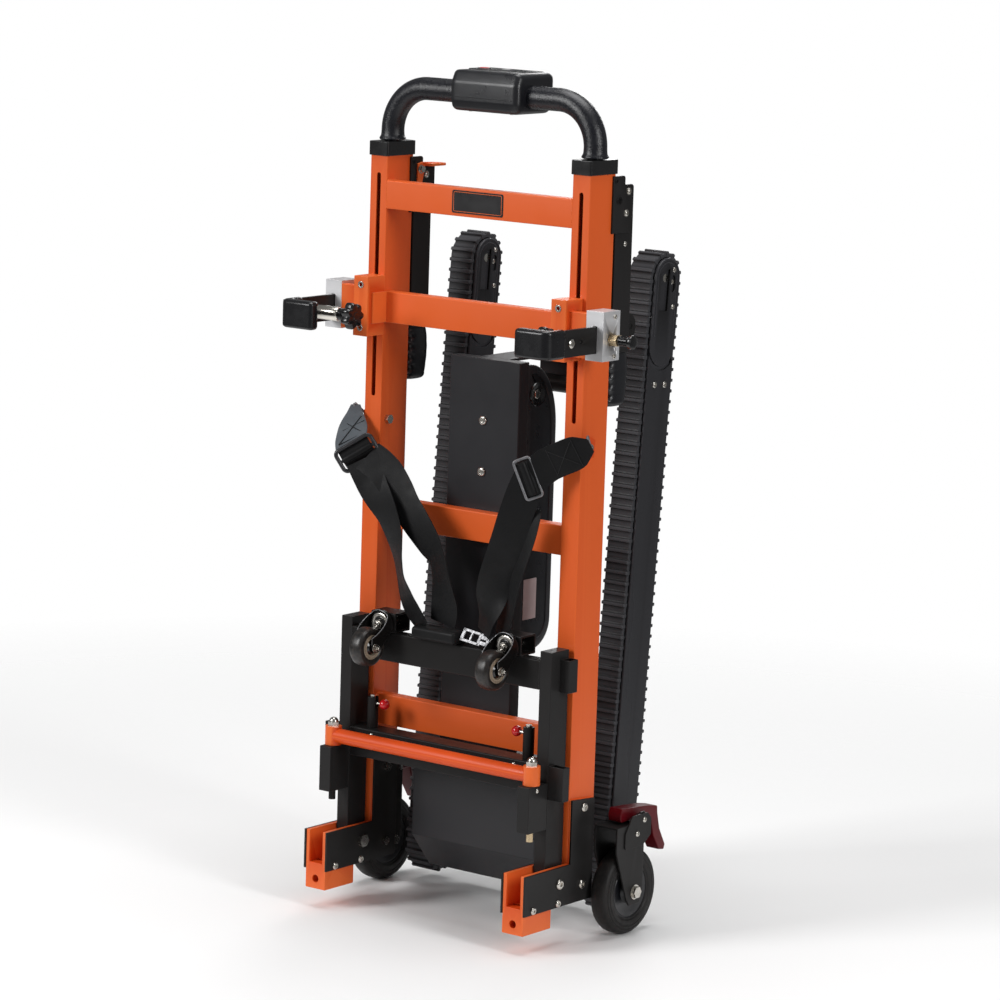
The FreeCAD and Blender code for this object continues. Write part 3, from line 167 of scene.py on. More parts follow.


# The edge colours given below are painted highlights for convex edges.
ORANGE = material(
    "orange_powder_coat", (0.72, 0.082, 0.01), (0.66, 0.07, 0.008), 0.36, 7, 1300, 0.1,
    coat=0.06, edge_highlight=(0.82, 0.15, 0.03), specular=0.28)
BLACK = material(
    "black_powder_coat", (0.0052, 0.0048, 0.0048), (0.0074, 0.0066, 0.0062), 0.33, 9, 1500,
    0.22, edge_highlight=(0.022, 0.021, 0.021), specular=0.13)
COVER = material(
    "cover_coat", (0.01, 0.0096, 0.0125), (0.008, 0.0076, 0.01), 0.38, 6, 1700, 0.18,
    edge_highlight=(0.034, 0.034, 0.037), specular=0.25)
TRACK_ALLOY = material(
    "anodised_alloy", (0.006, 0.0058, 0.0062), (0.008, 0.0074, 0.0074), 0.28, 14, 1100, 0.1,
    stretch=(1, 1, 0.15), edge_highlight=(0.045, 0.045, 0.05), specular=0.15)
ALLOY = material(
    "bare_alloy", (0.8, 0.8, 0.81), (0.74, 0.74, 0.76), 0.36, 22, 800, 0.1, metal=0.55,
    stretch=(0.1, 0.1, 1.5))
STEEL = material(
    "zinc_steel", (0.66, 0.64, 0.6), (0.52, 0.49, 0.44), 0.24, 160, 1600, 0.1, metal=1)
BRASS = material("brass", (0.66, 0.52, 0.33), (0.52, 0.4, 0.25), 0.28, 120, 1500, 0.08, metal=1)
SLEEVE = material(
    "turned_steel", (0.8, 0.77, 0.72), (0.7, 0.66, 0.58), 0.2, 90, 1800, 0.08, metal=1,
    stretch=(1, 0.1, 0.1))
PLASTIC = material(
    "gloss_black_plastic", (0.005, 0.005, 0.0055), (0.0065, 0.0065, 0.007), 0.22, 25, 500,
    0.04, coat=0.25)
SATIN = material(
    "satin_black_plastic", (0.0062, 0.0066, 0.0088), (0.008, 0.0084, 0.0108), 0.3, 20,
    2200, 0.3, edge_highlight=(0.025, 0.025, 0.028))
GRIP = material(
    "pebbled_grip", (0.0065, 0.007, 0.0098), (0.0085, 0.009, 0.013), 0.27, 30, 850, 0.6,
    0.0006)
RUBBER = material(
    "pad_rubber", (0.0055, 0.0055, 0.0068), (0.007, 0.007, 0.0082), 0.27, 30, 1900, 0.12)
BELT = material(
    "belt_rubber", (0.0068, 0.0066, 0.0074), (0.01, 0.0096, 0.0104), 0.38, 70, 700, 0.35,
    edge_highlight=(0.055, 0.055, 0.06), dust=0.03, specular=0.15)
TYRE = material(
    "tyre_rubber", (0.0075, 0.0068, 0.007), (0.011, 0.0095, 0.009), 0.5, 40, 800, 0.25,
    dust=0.06, specular=0.3)
GLOSS_TYRE = material(
    "caster_tyre", (0.008, 0.0072, 0.0074), (0.017, 0.0135, 0.012), 0.36, 60, 500, 0.12,
    dust=0.25, specular=0.45)
TAN = material("caster_hub_ring", (0.34, 0.27, 0.2), (0.27, 0.21, 0.15), 0.38, 90)
RED = material(
    "red_ball_plastic", (0.62, 0.006, 0.01), (0.55, 0.005, 0.008), 0.16, 60, 300, 0.02,
    coat=0.5)
PEDAL = material(
    "dark_red_plastic", (0.115, 0.0022, 0.006), (0.085, 0.0018, 0.0048), 0.36, 30, 1800, 0.2,
    specular=0.25)
WEBBING = woven("webbing", (0.0038, 0.0038, 0.0042), (0.0052, 0.0052, 0.0058))
SEWN = woven("sewn_webbing", (0.075, 0.086, 0.098), (0.11, 0.125, 0.14))
THREAD = material(
    "thread", (0.004, 0.004, 0.005), (0.00328, 0.00328, 0.0041), 0.7, grain=2500, relief=0.4)
TONGUE = material(
    "stamped_steel", (0.1, 0.1, 0.105), (0.36, 0.36, 0.37), 0.38, 330, 1500, 0.15, metal=0.6)
RING = material("grey_buckle_coat", (0.22, 0.22, 0.23), (0.17, 0.17, 0.18), 0.36, 90, metal=0.5)
LABEL = material(
    "blank_label", (0.01, 0.009, 0.01), (0.0082, 0.00738, 0.0082), 0.28, grain=400,
    relief=0.02)
PALE_LABEL = material("pale_label", (0.5, 0.42, 0.42), (0.46, 0.38, 0.38), 0.4, 50)
BOARD = material("circuit_board", (0.01, 0.09, 0.03), (0.0082, 0.0738, 0.0246), 0.35)


# ---- mesh helpers ----
def linked(name, data):
    """A new object in the scene."""
    made = bpy.data.objects.new(name, data)
    bpy.context.scene.collection.objects.link(made)
    return made


def make(name, shape, look, body="frame", sharp=38, replaces=()):
    """A piece from vertices in millimetres, closed outwards, riding on a body."""
    verts, faces = shape
    mesh = bpy.data.meshes.new(name)
    mesh.from_pydata([at(*v) for v in verts], [], faces)
    shaped = bmesh.new()
    shaped.from_mesh(mesh)
    bmesh.ops.remove_doubles(shaped, verts=shaped.verts, dist=1e-6)
    bmesh.ops.recalc_face_normals(shaped, faces=shaped.faces)
    shaped.to_mesh(mesh)
    shaped.free()
    mesh.materials.append(look)
    mesh.shade_smooth()
    mesh.set_sharp_from_angle(angle=radians(sharp))
    piece = linked(name, mesh)
    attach(piece, body)
    if replaces:
        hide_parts(*replaces)
    return piece


def bevelled(piece, width, segments=3, angle=38):
    """Rounds a piece's sharp edges."""
    made = piece.modifiers.new("rounded", "BEVEL")
    made.width = width / 1000
    made.segments = segments
    made.limit_method = "ANGLE"
    made.angle_limit = radians(angle)
    made.use_clamp_overlap = False
    made.harden_normals = True
    return piece


def stitched(rings, closed=False):
    """Vertices and faces that join outlines of one length, one after another."""
    size = len(rings[0])
    verts = [point for ring in rings for point in ring]
    faces = []
    last = len(rings) if closed else len(rings) - 1
    for i in range(last):
        j = (i + 1) % len(rings)
        for k in range(size):
            m = (k + 1) % size
            faces.append((i * size + k, i * size + m, j * size + m, j * size + k))
    if not closed:
        faces.append(tuple(range(size)))
        faces.append(tuple((len(rings) - 1) * size + k for k in range(size)))
    return verts, faces


def lathe(centre, outline, axis=0, steps=72):
    """Turns (along, radius) points about an axis through a centre.

    An outline that starts and ends on the axis is left open there."""
    first, second = [i for i in range(3) if i != axis]
    rings = []
    for i in range(steps):
        angle = 2 * pi * i / steps
        ring = []
        for along, radius in outline:
            point = [0, 0, 0]
            point[axis] = along
            point[first] = radius * cos(angle)
            point[second] = radius * sin(angle)
            ring.append([a + b for a, b in zip(centre, point)])
        rings.append(ring)
    verts, faces = stitched(rings, closed=True)
    if outline[0][1] == outline[-1][1] == 0:
        size = len(outline)
        faces = [f for n, f in enumerate(faces) if n % size != size - 1]
    return verts, faces


def rounded(points, radius, steps=5):
    """A flat outline with its corners turned into arcs."""
    out = []
    for i, point in enumerate(points):
        corner = Vector(point)
        before = Vector(points[i - 1]) - corner
        after = Vector(points[(i + 1) % len(points)]) - corner
        half = before.angle(after) / 2
        size = radius[i] if isinstance(radius, (list, tuple)) else radius
        cut = min(size / tan(half), 0.48 * before.length, 0.48 * after.length)
        size = cut * tan(half)
        if size < 0.05:
            out.append(tuple(corner))
            continue
        middle = corner + (before.normalized() + after.normalized()).normalized() * (size / sin(half))
        start = corner + before.normalized() * cut - middle
        end = corner + after.normalized() * cut - middle
        for k in range(steps + 1):
            turned = start.slerp(end, k / steps)
            out.append(tuple(middle + turned * size))
    return out


def arc(centre, radius, start, end, steps):
    """Points on a circle in a plane, from one angle to another in degrees."""
    angles = [radians(start + (end - start) * k / steps) for k in range(steps + 1)]
    return [(centre[0] + radius * cos(a), centre[1] + radius * sin(a)) for a in angles]


def prism(outline, axis, low, high):
    """Vertices and faces of a flat outline drawn out along an axis."""
    rings = []
    for level in (low, high):
        ring = []
        for a, b in outline:
            point = [a, b]
            point.insert(axis, level)
            ring.append(point)
        rings.append(ring)
    return stitched(rings)


def rectangle(a, b):
    """Corners between two (low, high) pairs."""
    return [(a[0], b[0]), (a[1], b[0]), (a[1], b[1]), (a[0], b[1])]


def slab(x, y, z):
    """Box between three (low, high) pairs."""
    return prism(rectangle(x, y), 2, *z)


def tube(path, radius, sides=20, closed=False):
    """Round tube along a path; radius is a number or one for each point."""
    points = [Vector(p) for p in path]
    count = len(points)
    rings = []
    normal = None
    for i, point in enumerate(points):
        before = points[i - 1] if i or closed else point
        after = points[(i + 1) % count] if i < count - 1 or closed else point
        forward = (after - before).normalized()
        if normal is None:
            guide = Vector((0, 0, 1)) if abs(forward.z) < 0.9 else Vector((0, 1, 0))
            normal = forward.cross(guide).normalized()
        normal = (normal - forward * normal.dot(forward)).normalized()
        across = forward.cross(normal)
        size = radius[i] if isinstance(radius, (list, tuple)) else radius
        ring = []
        for k in range(sides):
            angle = 2 * pi * k / sides
            ring.append(tuple(point + (normal * cos(angle) + across * sin(angle)) * size))
        rings.append(ring)
    return stitched(rings, closed=closed)


def joined(*parts):
    """Several (vertices, faces) pairs as one."""
    verts, faces = [], []
    for more_verts, more_faces in parts:
        start = len(verts)
        verts += list(more_verts)
        faces += [tuple(i + start for i in face) for face in more_faces]
    return verts, faces


def flipped(shape, sign):
    """The shape, or its mirror image across X for sign -1."""
    verts, faces = shape
    return [(sign * v[0], v[1], v[2]) for v in verts], faces


def hexagon(centre, across, turn):
    """Six corners about a centre, by the width across the flats."""
    return arc(centre, across / sqrt(3), turn, turn + 300, 5)


def dome_screw(centre, axis, out, radius):
    """Low round head with a socket, facing along an axis."""
    height = 0.55 * radius
    outline = [(0, 0), (0, radius * 0.97), (height * 0.35, radius), (height * 0.75, radius * 0.86),
               (height, radius * 0.55), (height, radius * 0.42), (height * 0.4, radius * 0.40),
               (height * 0.35, 0)]
    return lathe(centre, [(out * a, r) for a, r in outline], axis, 28)


def smoothed(keys, steps):
    """Catmull-Rom points through a list of equal-length tuples."""
    out = []
    for i in range(len(keys) - 1):
        p0 = keys[max(i - 1, 0)]
        p1, p2 = keys[i], keys[i + 1]
        p3 = keys[min(i + 2, len(keys) - 1)]
        for k in range(steps):
            t = k / steps
            out.append(tuple(
                0.5 * (2 * b + (c - a) * t + (2 * a - 5 * b + 4 * c - d) * t * t
                       + (3 * b - a - 3 * c + d) * t ** 3)
                for a, b, c, d in zip(p0, p1, p2, p3)))
    out.append(tuple(keys[-1]))
    return out


# ---- CAD nodes that keep their shape ----
def dress(name, look, *rules, bevel):
    """Gives a CAD node its materials and eases its edges.

    Each rule is (material, test of a face's centre in millimetres)."""
    piece = NODES[name]
    mesh = piece.data
    mesh.materials.clear()
    for choice in [look] + [rule[0] for rule in rules]:
        mesh.materials.append(choice)
    for face in mesh.polygons:
        centre = back_to_mm(face.center)
        face.material_index = 0
        for i, (_, test) in enumerate(rules):
            if test(centre):
                face.material_index = i + 1
    if bevel:
        if "custom_normal" in mesh.attributes:
            mesh.attributes.remove(mesh.attributes["custom_normal"])
        mesh.shade_smooth()
        weld = piece.modifiers.new("weld", "WELD")
        weld.merge_threshold = 2e-6
        flat = piece.modifiers.new("flat", "DECIMATE")
        flat.decimate_type = "DISSOLVE"
        flat.angle_limit = radians(0.5)
        flat.delimit = {"MATERIAL"}
        bevelled(piece, bevel, 2)


def near(x, y, z):
    """Test that a face lies in a box; None leaves a direction open. X is taken without its sign."""
    def test(centre):
        values = (abs(centre.x), centre.y, centre.z)
        return all(span is None or span[0] <= value <= span[1] for span, value in zip((x, y, z), values))
    return test


PLAIN = [
    (ORANGE, 0.5, "left_upright right_upright"), (ORANGE, 0.6, "frame_crossbars"),
    (ORANGE, 0.7, "foot_channels"), (ORANGE, 0.8, "release_lever slider_crossbar"),
    (PLASTIC, 0.8, "upright_caps"), (BLACK, 0, "handle_bar"),
    (BLACK, 0.5, "foot_plates"), (BLACK, 0.6, "track_cross_tube drive_motor track_sprockets track_idlers"),
    (BLACK, 0.7, "wheel_brackets platform_crossbars"), (BLACK, 0.8, "left_hook_arm right_hook_arm"),
    (BLACK, 0.9, "platform_posts"), (COVER, 1.2, "gearbox_cover"), (STEEL, 0, "track_fasteners"),
    (TRACK_ALLOY, 0.6, "gearbox left_track_housing right_track_housing"), (STEEL, 0.3, "key_switch"),
    (STEEL, 0.6, "drive_shaft"), (PEDAL, 1.3, "left_brake_pedal right_brake_pedal"), (RED, 0, "power_button"),
    (SATIN, 0.8, "drive_rocker"), (BOARD, 0.6, "control_board")]
for look, bevel, names in PLAIN:
    for name in names.split():
        dress(name, look, bevel=bevel)
dress("frame_fasteners", STEEL, (ORANGE, near((193, 196.2), (0, 30), (683, 715))), bevel=0)
dress("central_cover", COVER, (STEEL, near((0, 7), (20, 27.99), (630, 720))), bevel=0.7)
for side, _ in SIDES:
    dress(side + "_latch_pin", STEEL, (RED, near((0, 127), None, None)), bevel=0)
dress("arm_blocks", ALLOY, (STEEL, near((160, 190), (-45, 10), None)),
      (STEEL, near((245.05, 250), (-9, 1), None)), (BRASS, near((245.1, 260), (-20, -2), (840, 870))),
      bevel=0.35)
dress("push_bar", ORANGE, (STEEL, near((165, 191), None, (261.7, 290))),
      (BRASS, lambda face: 165 < face.x < 191 and face.z < 234.5),
      (BLACK, lambda face: -191 < face.x < -165 and face.z < 234.5), bevel=0)


# ---- tracks ----
LUGS = 128
LUG_SHAPE = [(0.00, 0), (0.27, 0), (0.31, 0.12), (0.34, 0.80), (0.38, 0.97), (0.48, 1), (0.58, 0.97),
             (0.63, 0.80), (0.66, 0.12), (0.70, 0), (0.85, -0.08)]
CARCASS = (29.7, 34.8)
LUG_TIP = 37.9


def belt_place(distance, offset):
    """(y, z) at a distance round the belt and an offset from the pulleys' centre line."""
    run = (TRACK_HIGH - TRACK_LOW).length
    along = (TRACK_HIGH - TRACK_LOW) / run
    front = Vector((-along.y, along.x))
    turn = pi * CARCASS[1]
    if distance < run:
        return TRACK_LOW + along * distance + front * offset
    if distance < run + turn:
        angle = (distance - run) / CARCASS[1]
        return TRACK_HIGH + (front * cos(angle) + along * sin(angle)) * offset
    if distance < 2 * run + turn:
        return TRACK_HIGH - along * (distance - run - turn) - front * offset
    angle = (distance - 2 * run - turn) / CARCASS[1]
    return TRACK_LOW - (front * cos(angle) + along * sin(angle)) * offset


def belt(sign, name):
    """Endless belt with cross ribs that stand a little past its edges."""
    total = 2 * (TRACK_HIGH - TRACK_LOW).length + 2 * pi * CARCASS[1]
    rings = []
    for i in range(LUGS):
        for share, rise in LUG_SHAPE:
            distance = total * (i + share) / LUGS
            height = CARCASS[1] + (LUG_TIP - CARCASS[1]) * rise
            half = 18.8 + 1 * max(rise, 0)
            section = [(-half, CARCASS[0]), (-half, height - 1), (-half + 0.9, height),
                       (half - 0.9, height), (half, height - 1), (half, CARCASS[0])]
            ring = []
            for dx, offset in section:
                y, z = belt_place(distance, offset)
                ring.append((sign * (TRACK_X + dx), y, z))
            rings.append(ring)
    make(name + "_belt", stitched(rings, closed=True), BELT, "frame", 30, [name + "_track_belt"])


def arch_path(radius, x, down):
    """Line up one edge of a track, over its top and down again."""
    along = (TRACK_HIGH - TRACK_LOW).normalized()
    front = Vector((-along.y, along.x))
    points = [TRACK_HIGH - along * down * (1 - k / 6) + front * radius for k in range(6)]
    points += [TRACK_HIGH + front * a + along * b for a, b in arc((0, 0), radius, 0, 180, 36)]
    points += [TRACK_HIGH - along * down * k / 6 - front * radius for k in range(1, 7)]
    return [(x, p.x, p.y) for p in points]


for side, sign in SIDES:
    belt(sign, side)
    beads = []
    for face in (TRACK_X + 23, TRACK_X - 23):
        for radius, size in ((27.4, 1.25), (22.2, 1)):
            beads.append(tube(arch_path(radius, face, 82), size, 8))
    make(side + "_arch_beads", flipped(joined(*beads), sign), TRACK_ALLOY)


# ---- wheels ----
TYRE_SIDE = [(15, 46), (15, 48.6), (14.2, 49.3), (14.2, 50.2), (14.8, 50.9), (14.6, 53.4), (13.7, 54.1),
             (13.6, 55), (14, 55.8), (13, 58.3), (11.2, 60.4), (8.4, 61.7), (4.5, 62.3)]
HUB_SIDE = [(11.6, 38.4), (11.2, 37.6), (11.2, 36.9), (11.8, 36.2), (11, 30), (9.6, 24), (9.4, 18.5),
            (11, 16.5), (14, 15), (14.8, 13.6), (15, 5.1)]


def both_halves(half, middle=(), inner=()):
    """Closed outline of a wheel part from one half, mirrored past what lies in the middle."""
    return [*half, *middle, *[(-a, r) for a, r in reversed(half)], *inner]


for side, sign in SIDES:
    centre = (sign * WHEEL[0], WHEEL[1], WHEEL[2])
    tyre = [(12.4, 38.6), (12.9, 41), (14.2, 42.6)] + TYRE_SIDE
    make(side + "_tyre", lathe(centre, both_halves(tyre, [(0, 62.5)]), steps=144), TYRE,
         side + "_wheel", 25, [side + "_wheel_tyre"])
    make(side + "_hub", lathe(centre, both_halves(HUB_SIDE), steps=96), SATIN,
         side + "_wheel", 25, [side + "_wheel_hub"])
    washer = [(16.2, 5.2), (16.2, 10.5), (15.1, 10.5), (15.1, 5.2)]
    make(side + "_axle_washer", lathe(centre, [(sign * (a + 5.6), r) for a, r in washer]), STEEL)

    # swivel casters
    centre = (sign * CASTER[0], CASTER[1], CASTER[2])
    half = [(9.4, 17.9), (10.4, 18.8), (11, 20.6), (11.1, 23.4), (10.4, 25.6), (8.6, 27.1), (5.6, 27.8),
            (2.6, 28)]
    make(side + "_caster_tyre", lathe(centre, both_halves(half), steps=96), GLOSS_TYRE,
         side + "_caster", 30, [side + "_caster_wheel"])
    ring = [(9.6, 17.7), (10.6, 16.9), (10.2, 16.1), (8.8, 15.7), (8.8, 14.9), (10.4, 14.2), (10.2, 12.4),
            (8.2, 11.6)]
    ring = both_halves(ring, inner=[(-8.2, 10.8), (8.2, 10.8)])
    make(side + "_caster_ring", lathe(centre, ring), TAN, side + "_caster", 30)
    core = [(7.6, 11.5), (8.8, 10.4), (9.6, 8.6), (10.4, 7.6), (10.8, 3.1)]
    make(side + "_caster_core", lathe(centre, both_halves(core), steps=60), PLASTIC, side + "_caster", 30)


# ---- caster forks ----
def fork_depth(height):
    """(back y, front y) of the fork's sheet at a height from its stem."""
    front = -54
    if height < 13.5:
        front = max(-54 - (13.5 - height) * 32 / 27, -86.5)
    if height < -28:
        front = -86.5 + 6.5 * (1 - cos((-28 - height) / 8 * pi / 2))
    back = -50
    if height < -16:
        back = -50 - 23 * (-16 - height) / 20
    return back, front


def fork_shell():
    """Sheet bent over the stem head and down beside the wheel."""
    half = 14.4
    radius = 20.5
    turn = degrees(acos(half / radius))
    path = [(half, z) for z in (-36, -34, -31, -28, -25, -22, -19, -16)]
    path += arc((0, 0), radius, -turn, 180 + turn, 30)
    path += [(-x, z) for x, z in reversed(path[:8])]
    rings = []
    for x, z in path:
        back, front = fork_depth(z)
        rings.append([(x, back + (front - back) * k / 8, z) for k in range(9)])
    verts = [point for ring in rings for point in ring]
    starts = [i * 9 + k for i in range(len(rings) - 1) for k in range(8)]
    faces = [(a, a + 1, a + 10, a + 9) for a in starts]
    crown = [i * 9 for i, (_, z) in enumerate(path) if z >= -16.01]
    faces.append(tuple(crown))
    return verts, faces


for side, sign in SIDES:
    body = side + "_fork"
    x, y, z = sign * CASTER[0], CASTER[1], CASTER[2]
    verts, faces = fork_shell()
    verts = [(x + vx, vy, CASTER_STEM_Z + vz) for vx, vy, vz in verts]
    fork = make(side + "_fork_sheet", (verts, faces), BLACK, body, 50, [side + "_caster_fork"])
    sheet = fork.modifiers.new("sheet", "SOLIDIFY")
    sheet.thickness = 0.0022
    sheet.offset = 0
    bevelled(fork, 0.45, 2, 50)
    edge = [(14.4, -24), (14.4, -20), (14.4, -17), *arc((0, 0), 20.5, -45.4, 225.4, 30)]
    arch = [(x + out, fork_depth(rise)[1], CASTER_STEM_Z + rise) for out, rise in edge]
    make(side + "_fork_edge", tube(arch, 0.5, 8), TONGUE, body)
    stem = (x, 0, CASTER_STEM_Z)
    race = [(-50.2, 5.9), (-50.2, 16.4), (-51.6, 16.4), (-52.6, 15.8), (-53.2, 14.2), (-53, 12),
            (-52.2, 10.4), (-51.2, 5.9)]
    make(side + "_ball_race", lathe(stem, race, 1, 60), STEEL, body)
    dish = [(-51, 5.9), (-51, 10.6), (-52.6, 10.4), (-52.9, 9.6), (-52.9, 5.9)]
    make(side + "_race_dish", lathe(stem, dish, 1, 48), PLASTIC, body)
    seat = [(-49, 5.9), (-49, 15.5), (-45.6, 15.5), (-45.6, 5.9)]
    make(side + "_stem_seat", lathe(stem, seat, 1, 48), BLACK, body)
    nut = prism(hexagon((x, CASTER_STEM_Z), 13, 12), 1, -57.5, -52)
    bolt = [(-58.6, 0), (-58.6, 2.4), (-60.4, 2.8), (-60.4, 3.9), (-59.6, 4.4), (-50, 4.4), (-50, 0)]
    bevelled(make(side + "_stem_nut", joined(nut, lathe(stem, bolt, 1, 32)), STEEL, body), 0.5, 2)
    shaft = lathe(stem, [(-50, 0), (-50, 5.85), (-12, 5.85), (-11.5, 5.3), (-11.5, 0)], 1, 36)
    make(side + "_stem", shaft, STEEL, body)
    pin = lathe((x, y, z), [(-20, 0), (-20, 1.9), (-19.4, 2.5), (23, 2.5), (23.6, 1.9), (23.6, 0)], 0, 28)
    nuts = [prism(hexagon((y, z), 9, 20), 0, x + s * 16.2, x + s * 20.2) for s in (-1, 1)]
    washer = [(-0.5, 2.6), (-0.5, 6.4), (0.5, 6.4), (0.5, 2.6)]
    washers = [lathe((x + s * 15.8, y, z), washer) for s in (-1, 1)]
    bevelled(make(side + "_caster_axle", joined(pin, *nuts, *washers), STEEL, body), 0.35, 2)


# ---- handle ----
def grip_path():
    """From the foot of the right grip up and round to the control box."""
    y, top = HANDLE
    bend = 62
    points = [(UPRIGHT_X, y, 1094.2 + s) for s in (0, 0.7, 1.6, 2.6, 3.6, 5, 7, 9.5, 12)]
    points += [(x, y, z) for x, z in arc((UPRIGHT_X - bend, top - bend), bend, 0, 90, 24)]
    points += [(x, y, top) for x in (108, 98, 88, 78, 68, 61)]
    return points


GRIP_FOOT = [17.6, 18.6, 18.9, 18.8, 18.2, 17.4, 16.7, 16.4, 16.3]
for side, sign in SIDES:
    path = grip_path()
    sizes = GRIP_FOOT + [16.2] * (len(path) - len(GRIP_FOOT))
    make(side + "_grip", flipped(tube(path, sizes, 40), sign), GRIP, "handle", 50,
         ["handle_grip"] if side == "right" else [])


BOX_X = 8


def box_section(inset):
    """Side outline of the control box, drawn in all round by an inset."""
    low, high = (-6 + inset, 80 - inset), (1146 + inset, 1202.5 - inset)
    corners = [(low[0] + 4, high[0]), (low[1], high[0]), (low[1], high[1]), (low[0] + 7, high[1]),
               (low[0], 1186), (low[0], 1160)]
    return rounded(corners, [12, 14, 7, 6, 12, 12], 6)


rings = []
for x, inset in ((60, 9), (59.7, 6.6), (58.6, 4.2), (56.8, 2.2), (54.2, 0.8), (51, 0.15), (47, 0)):
    rings.append([(BOX_X - x, y, z) for y, z in box_section(inset)])
rings += [[(2 * BOX_X - x, y, z) for x, y, z in ring] for ring in reversed(rings)]
make("control_housing", stitched(rings), SATIN, "handle", 40, ["control_box"])
panel = prism(rounded(rectangle((-46, 56), (26, 72)), 6), 2, 1201.5, 1203.3)
bevelled(make("switch_panel", panel, PLASTIC, "handle"), 0.5, 2)
bezels = joined(
    lathe((-32, 48, 0), [(1203.2, 7.6), (1203.2, 10.4), (1204, 10), (1204, 8)], 2, 48),
    tube([(x, y, 1203.5) for x, y in rounded(rectangle((-1, 41), (38.5, 57.5)), 2)], 0.8, 8, True))
make("switch_bezels", bezels, SATIN, "handle")
make("housing_seam", slab((BOX_X - 50, BOX_X + 50), (-6.2, -5.6), (1165, 1165.7)), PLASTIC, "handle")
make("housing_screws", joined(*[dome_screw((x, 14, 1146.4), 2, -1, 3) for x in (-28, 44)]), STEEL, "handle")


# ---- battery ----
def battery_outline(inset):
    """Side view with a long rounded shoulder behind and a tighter corner below."""
    front, rear, low, high = 51 + inset, 124 - inset, 385 + inset, 795 - inset
    corner, deep, tall = 42 - 0.8 * inset, 62 - inset, 92 - 0.9 * inset
    below = arc((rear - corner, low + corner), corner, -90, 0, 10)
    shoulder = [(rear - deep + deep * a, high - tall + tall * b) for a, b in arc((0, 0), 1, 0, 90, 18)]
    return [(front, low), *below, *shoulder, (front, high)]


rings = []
for x, inset in ((56, 14), (56, 12.4), (57, 11.8), (57, 3.4), (56.6, 1.6), (55.6, 0.5), (53.8, 0)):
    rings.append([(x, y, z) for y, z in battery_outline(inset)])
rings += [[(-x, y, z) for x, y, z in ring] for ring in reversed(rings)]
make("battery_case", stitched(rings), SATIN, "frame", 40, ["battery_pack"])
key = (0, 76, 752)
bezel = [(56, 6.7), (56, 16.6), (58.2, 17.4), (59.6, 16.6), (59.5, 14.8), (57.2, 9.8), (57, 6.7)]
make("key_bezel", lathe(key, bezel, steps=60), PLASTIC)
barrel = [(55.5, 0), (55.5, 6.5), (57.9, 6.5), (58.3, 6), (58.3, 0)]
make("key_barrel", lathe(key, barrel, steps=40), STEEL, "key")
# A thin black strip on the barrel's face stands for the key slot: painted shade for the slot's dark inside.
make("keyway_shade", slab((57.9, 58.45), (75.4, 76.6), (748.2, 755.8)), PLASTIC, "key")
make("battery_label", prism(rounded(rectangle((58, 88), (431, 489)), 1.5), 0, 56.8, 57.35), PALE_LABEL)


# ---- labels and welds ----
plate = prism(rounded(rectangle((-45, 45), (1003.5, 1035.5)), 3), 1, -0.5, 0.3)
bevelled(make("bar_label", plate, LABEL), 0.2, 2)
border = rounded(rectangle((-42, 42), (1006, 1033)), 2)
make("label_border", tube([(x, -0.5, z) for x, z in border], 0.35, 6, True), ORANGE)


def weld_line(start, end, size):
    """Row of overlapping flat drops along a joint."""
    start, end = Vector(start), Vector(end)
    run = end - start
    count = max(2, round(run.length / 3.4))
    path, sizes = [], []
    for i in range(count):
        for share, swell in ((0, 0.55), (0.15, 0.85), (0.4, 1), (0.7, 0.98), (0.92, 0.75)):
            path.append(start + run * (i + share) / count)
            sizes.append(size * swell * (1 + 0.06 * sin(2.3 * i)))
    return tube(path, sizes, 10)


beads = []
for y, z, height in ((0, 999, 40), (8, 544, 42), (8, 256, 44)):
    for sign in (-1, 1):
        x = sign * (UPRIGHT_X - 15.4)
        # the slider passes close in front of the top crossbar and below it
        front, size, levels = y + 0.4, 3.5, (z + 0.3, z + height - 0.3)
        if z > 900:
            front, size, levels = y + 2.9, 3.1, levels[1:]
        for depth, radius in ((front, size), (y + 19.6, 3.5)):
            beads.append(weld_line((x, depth, z + 1), (x, depth, z + height - 1), radius))
        for level in levels:
            beads.append(weld_line((x, y + 1, level), (x, y + 19, level), 1.7))
make("frame_welds", joined(*beads), ORANGE, "frame", 60)
beads = []
for sign in (-1, 1):
    for z in (364, 218):
        beads.append(weld_line((sign * 167.6, -44.5, z), (sign * 167.6, -44.5, z + 40), 1.4))
    for x in (90, 134):
        beads.append(weld_line((sign * x, -44, 405.6), (sign * x, -27, 405.6), 1.4))
make("platform_welds", joined(*beads), BLACK, "platform", 60)
screws = [dome_screw((sign * 188.4, -69, 228), 0, sign, 3.6) for sign in (-1, 1)]
screws += [dome_screw((sign * 128, -45.2, 251), 1, -1, 3.6) for sign in (-1, 1)]
make("platform_screws", joined(*screws), STEEL, "platform")


# ---- hook arms ----
def knob(knob_x):
    """Seven-lobed knob with its neck, and a cap on its end."""
    centre = (knob_x, -88, ARM_Z)
    rings = []
    for dx, inset in ((-22, 9), (-22, 4.5), (-21.2, 2), (-19.5, 0.6), (-17, 0), (-11, 0), (-8.4, 0.6),
                      (-6.9, 2.2), (-6, 5), (-6, 9)):
        ring = []
        for k in range(140):
            angle = 2 * pi * k / 140
            lobe = (0.5 + 0.5 * cos(7 * angle)) ** 0.75
            size = 15 + 4.2 * lobe - inset
            y, z = size * cos(angle), size * sin(angle)
            ring.append((centre[0] + dx, centre[1] + y, centre[2] + z))
        rings.append(ring)
    neck = lathe(centre, [(-6.5, 0), (-6.5, 10), (-1.5, 9.2), (0, 8.6), (0, 0)], 0, 40)
    cap = lathe(centre, [(-22.6, 0), (-22.6, 5.4), (-21.8, 6.2), (-20, 6.2), (-20, 0)], 0, 36)
    return joined(stitched(rings), neck), cap


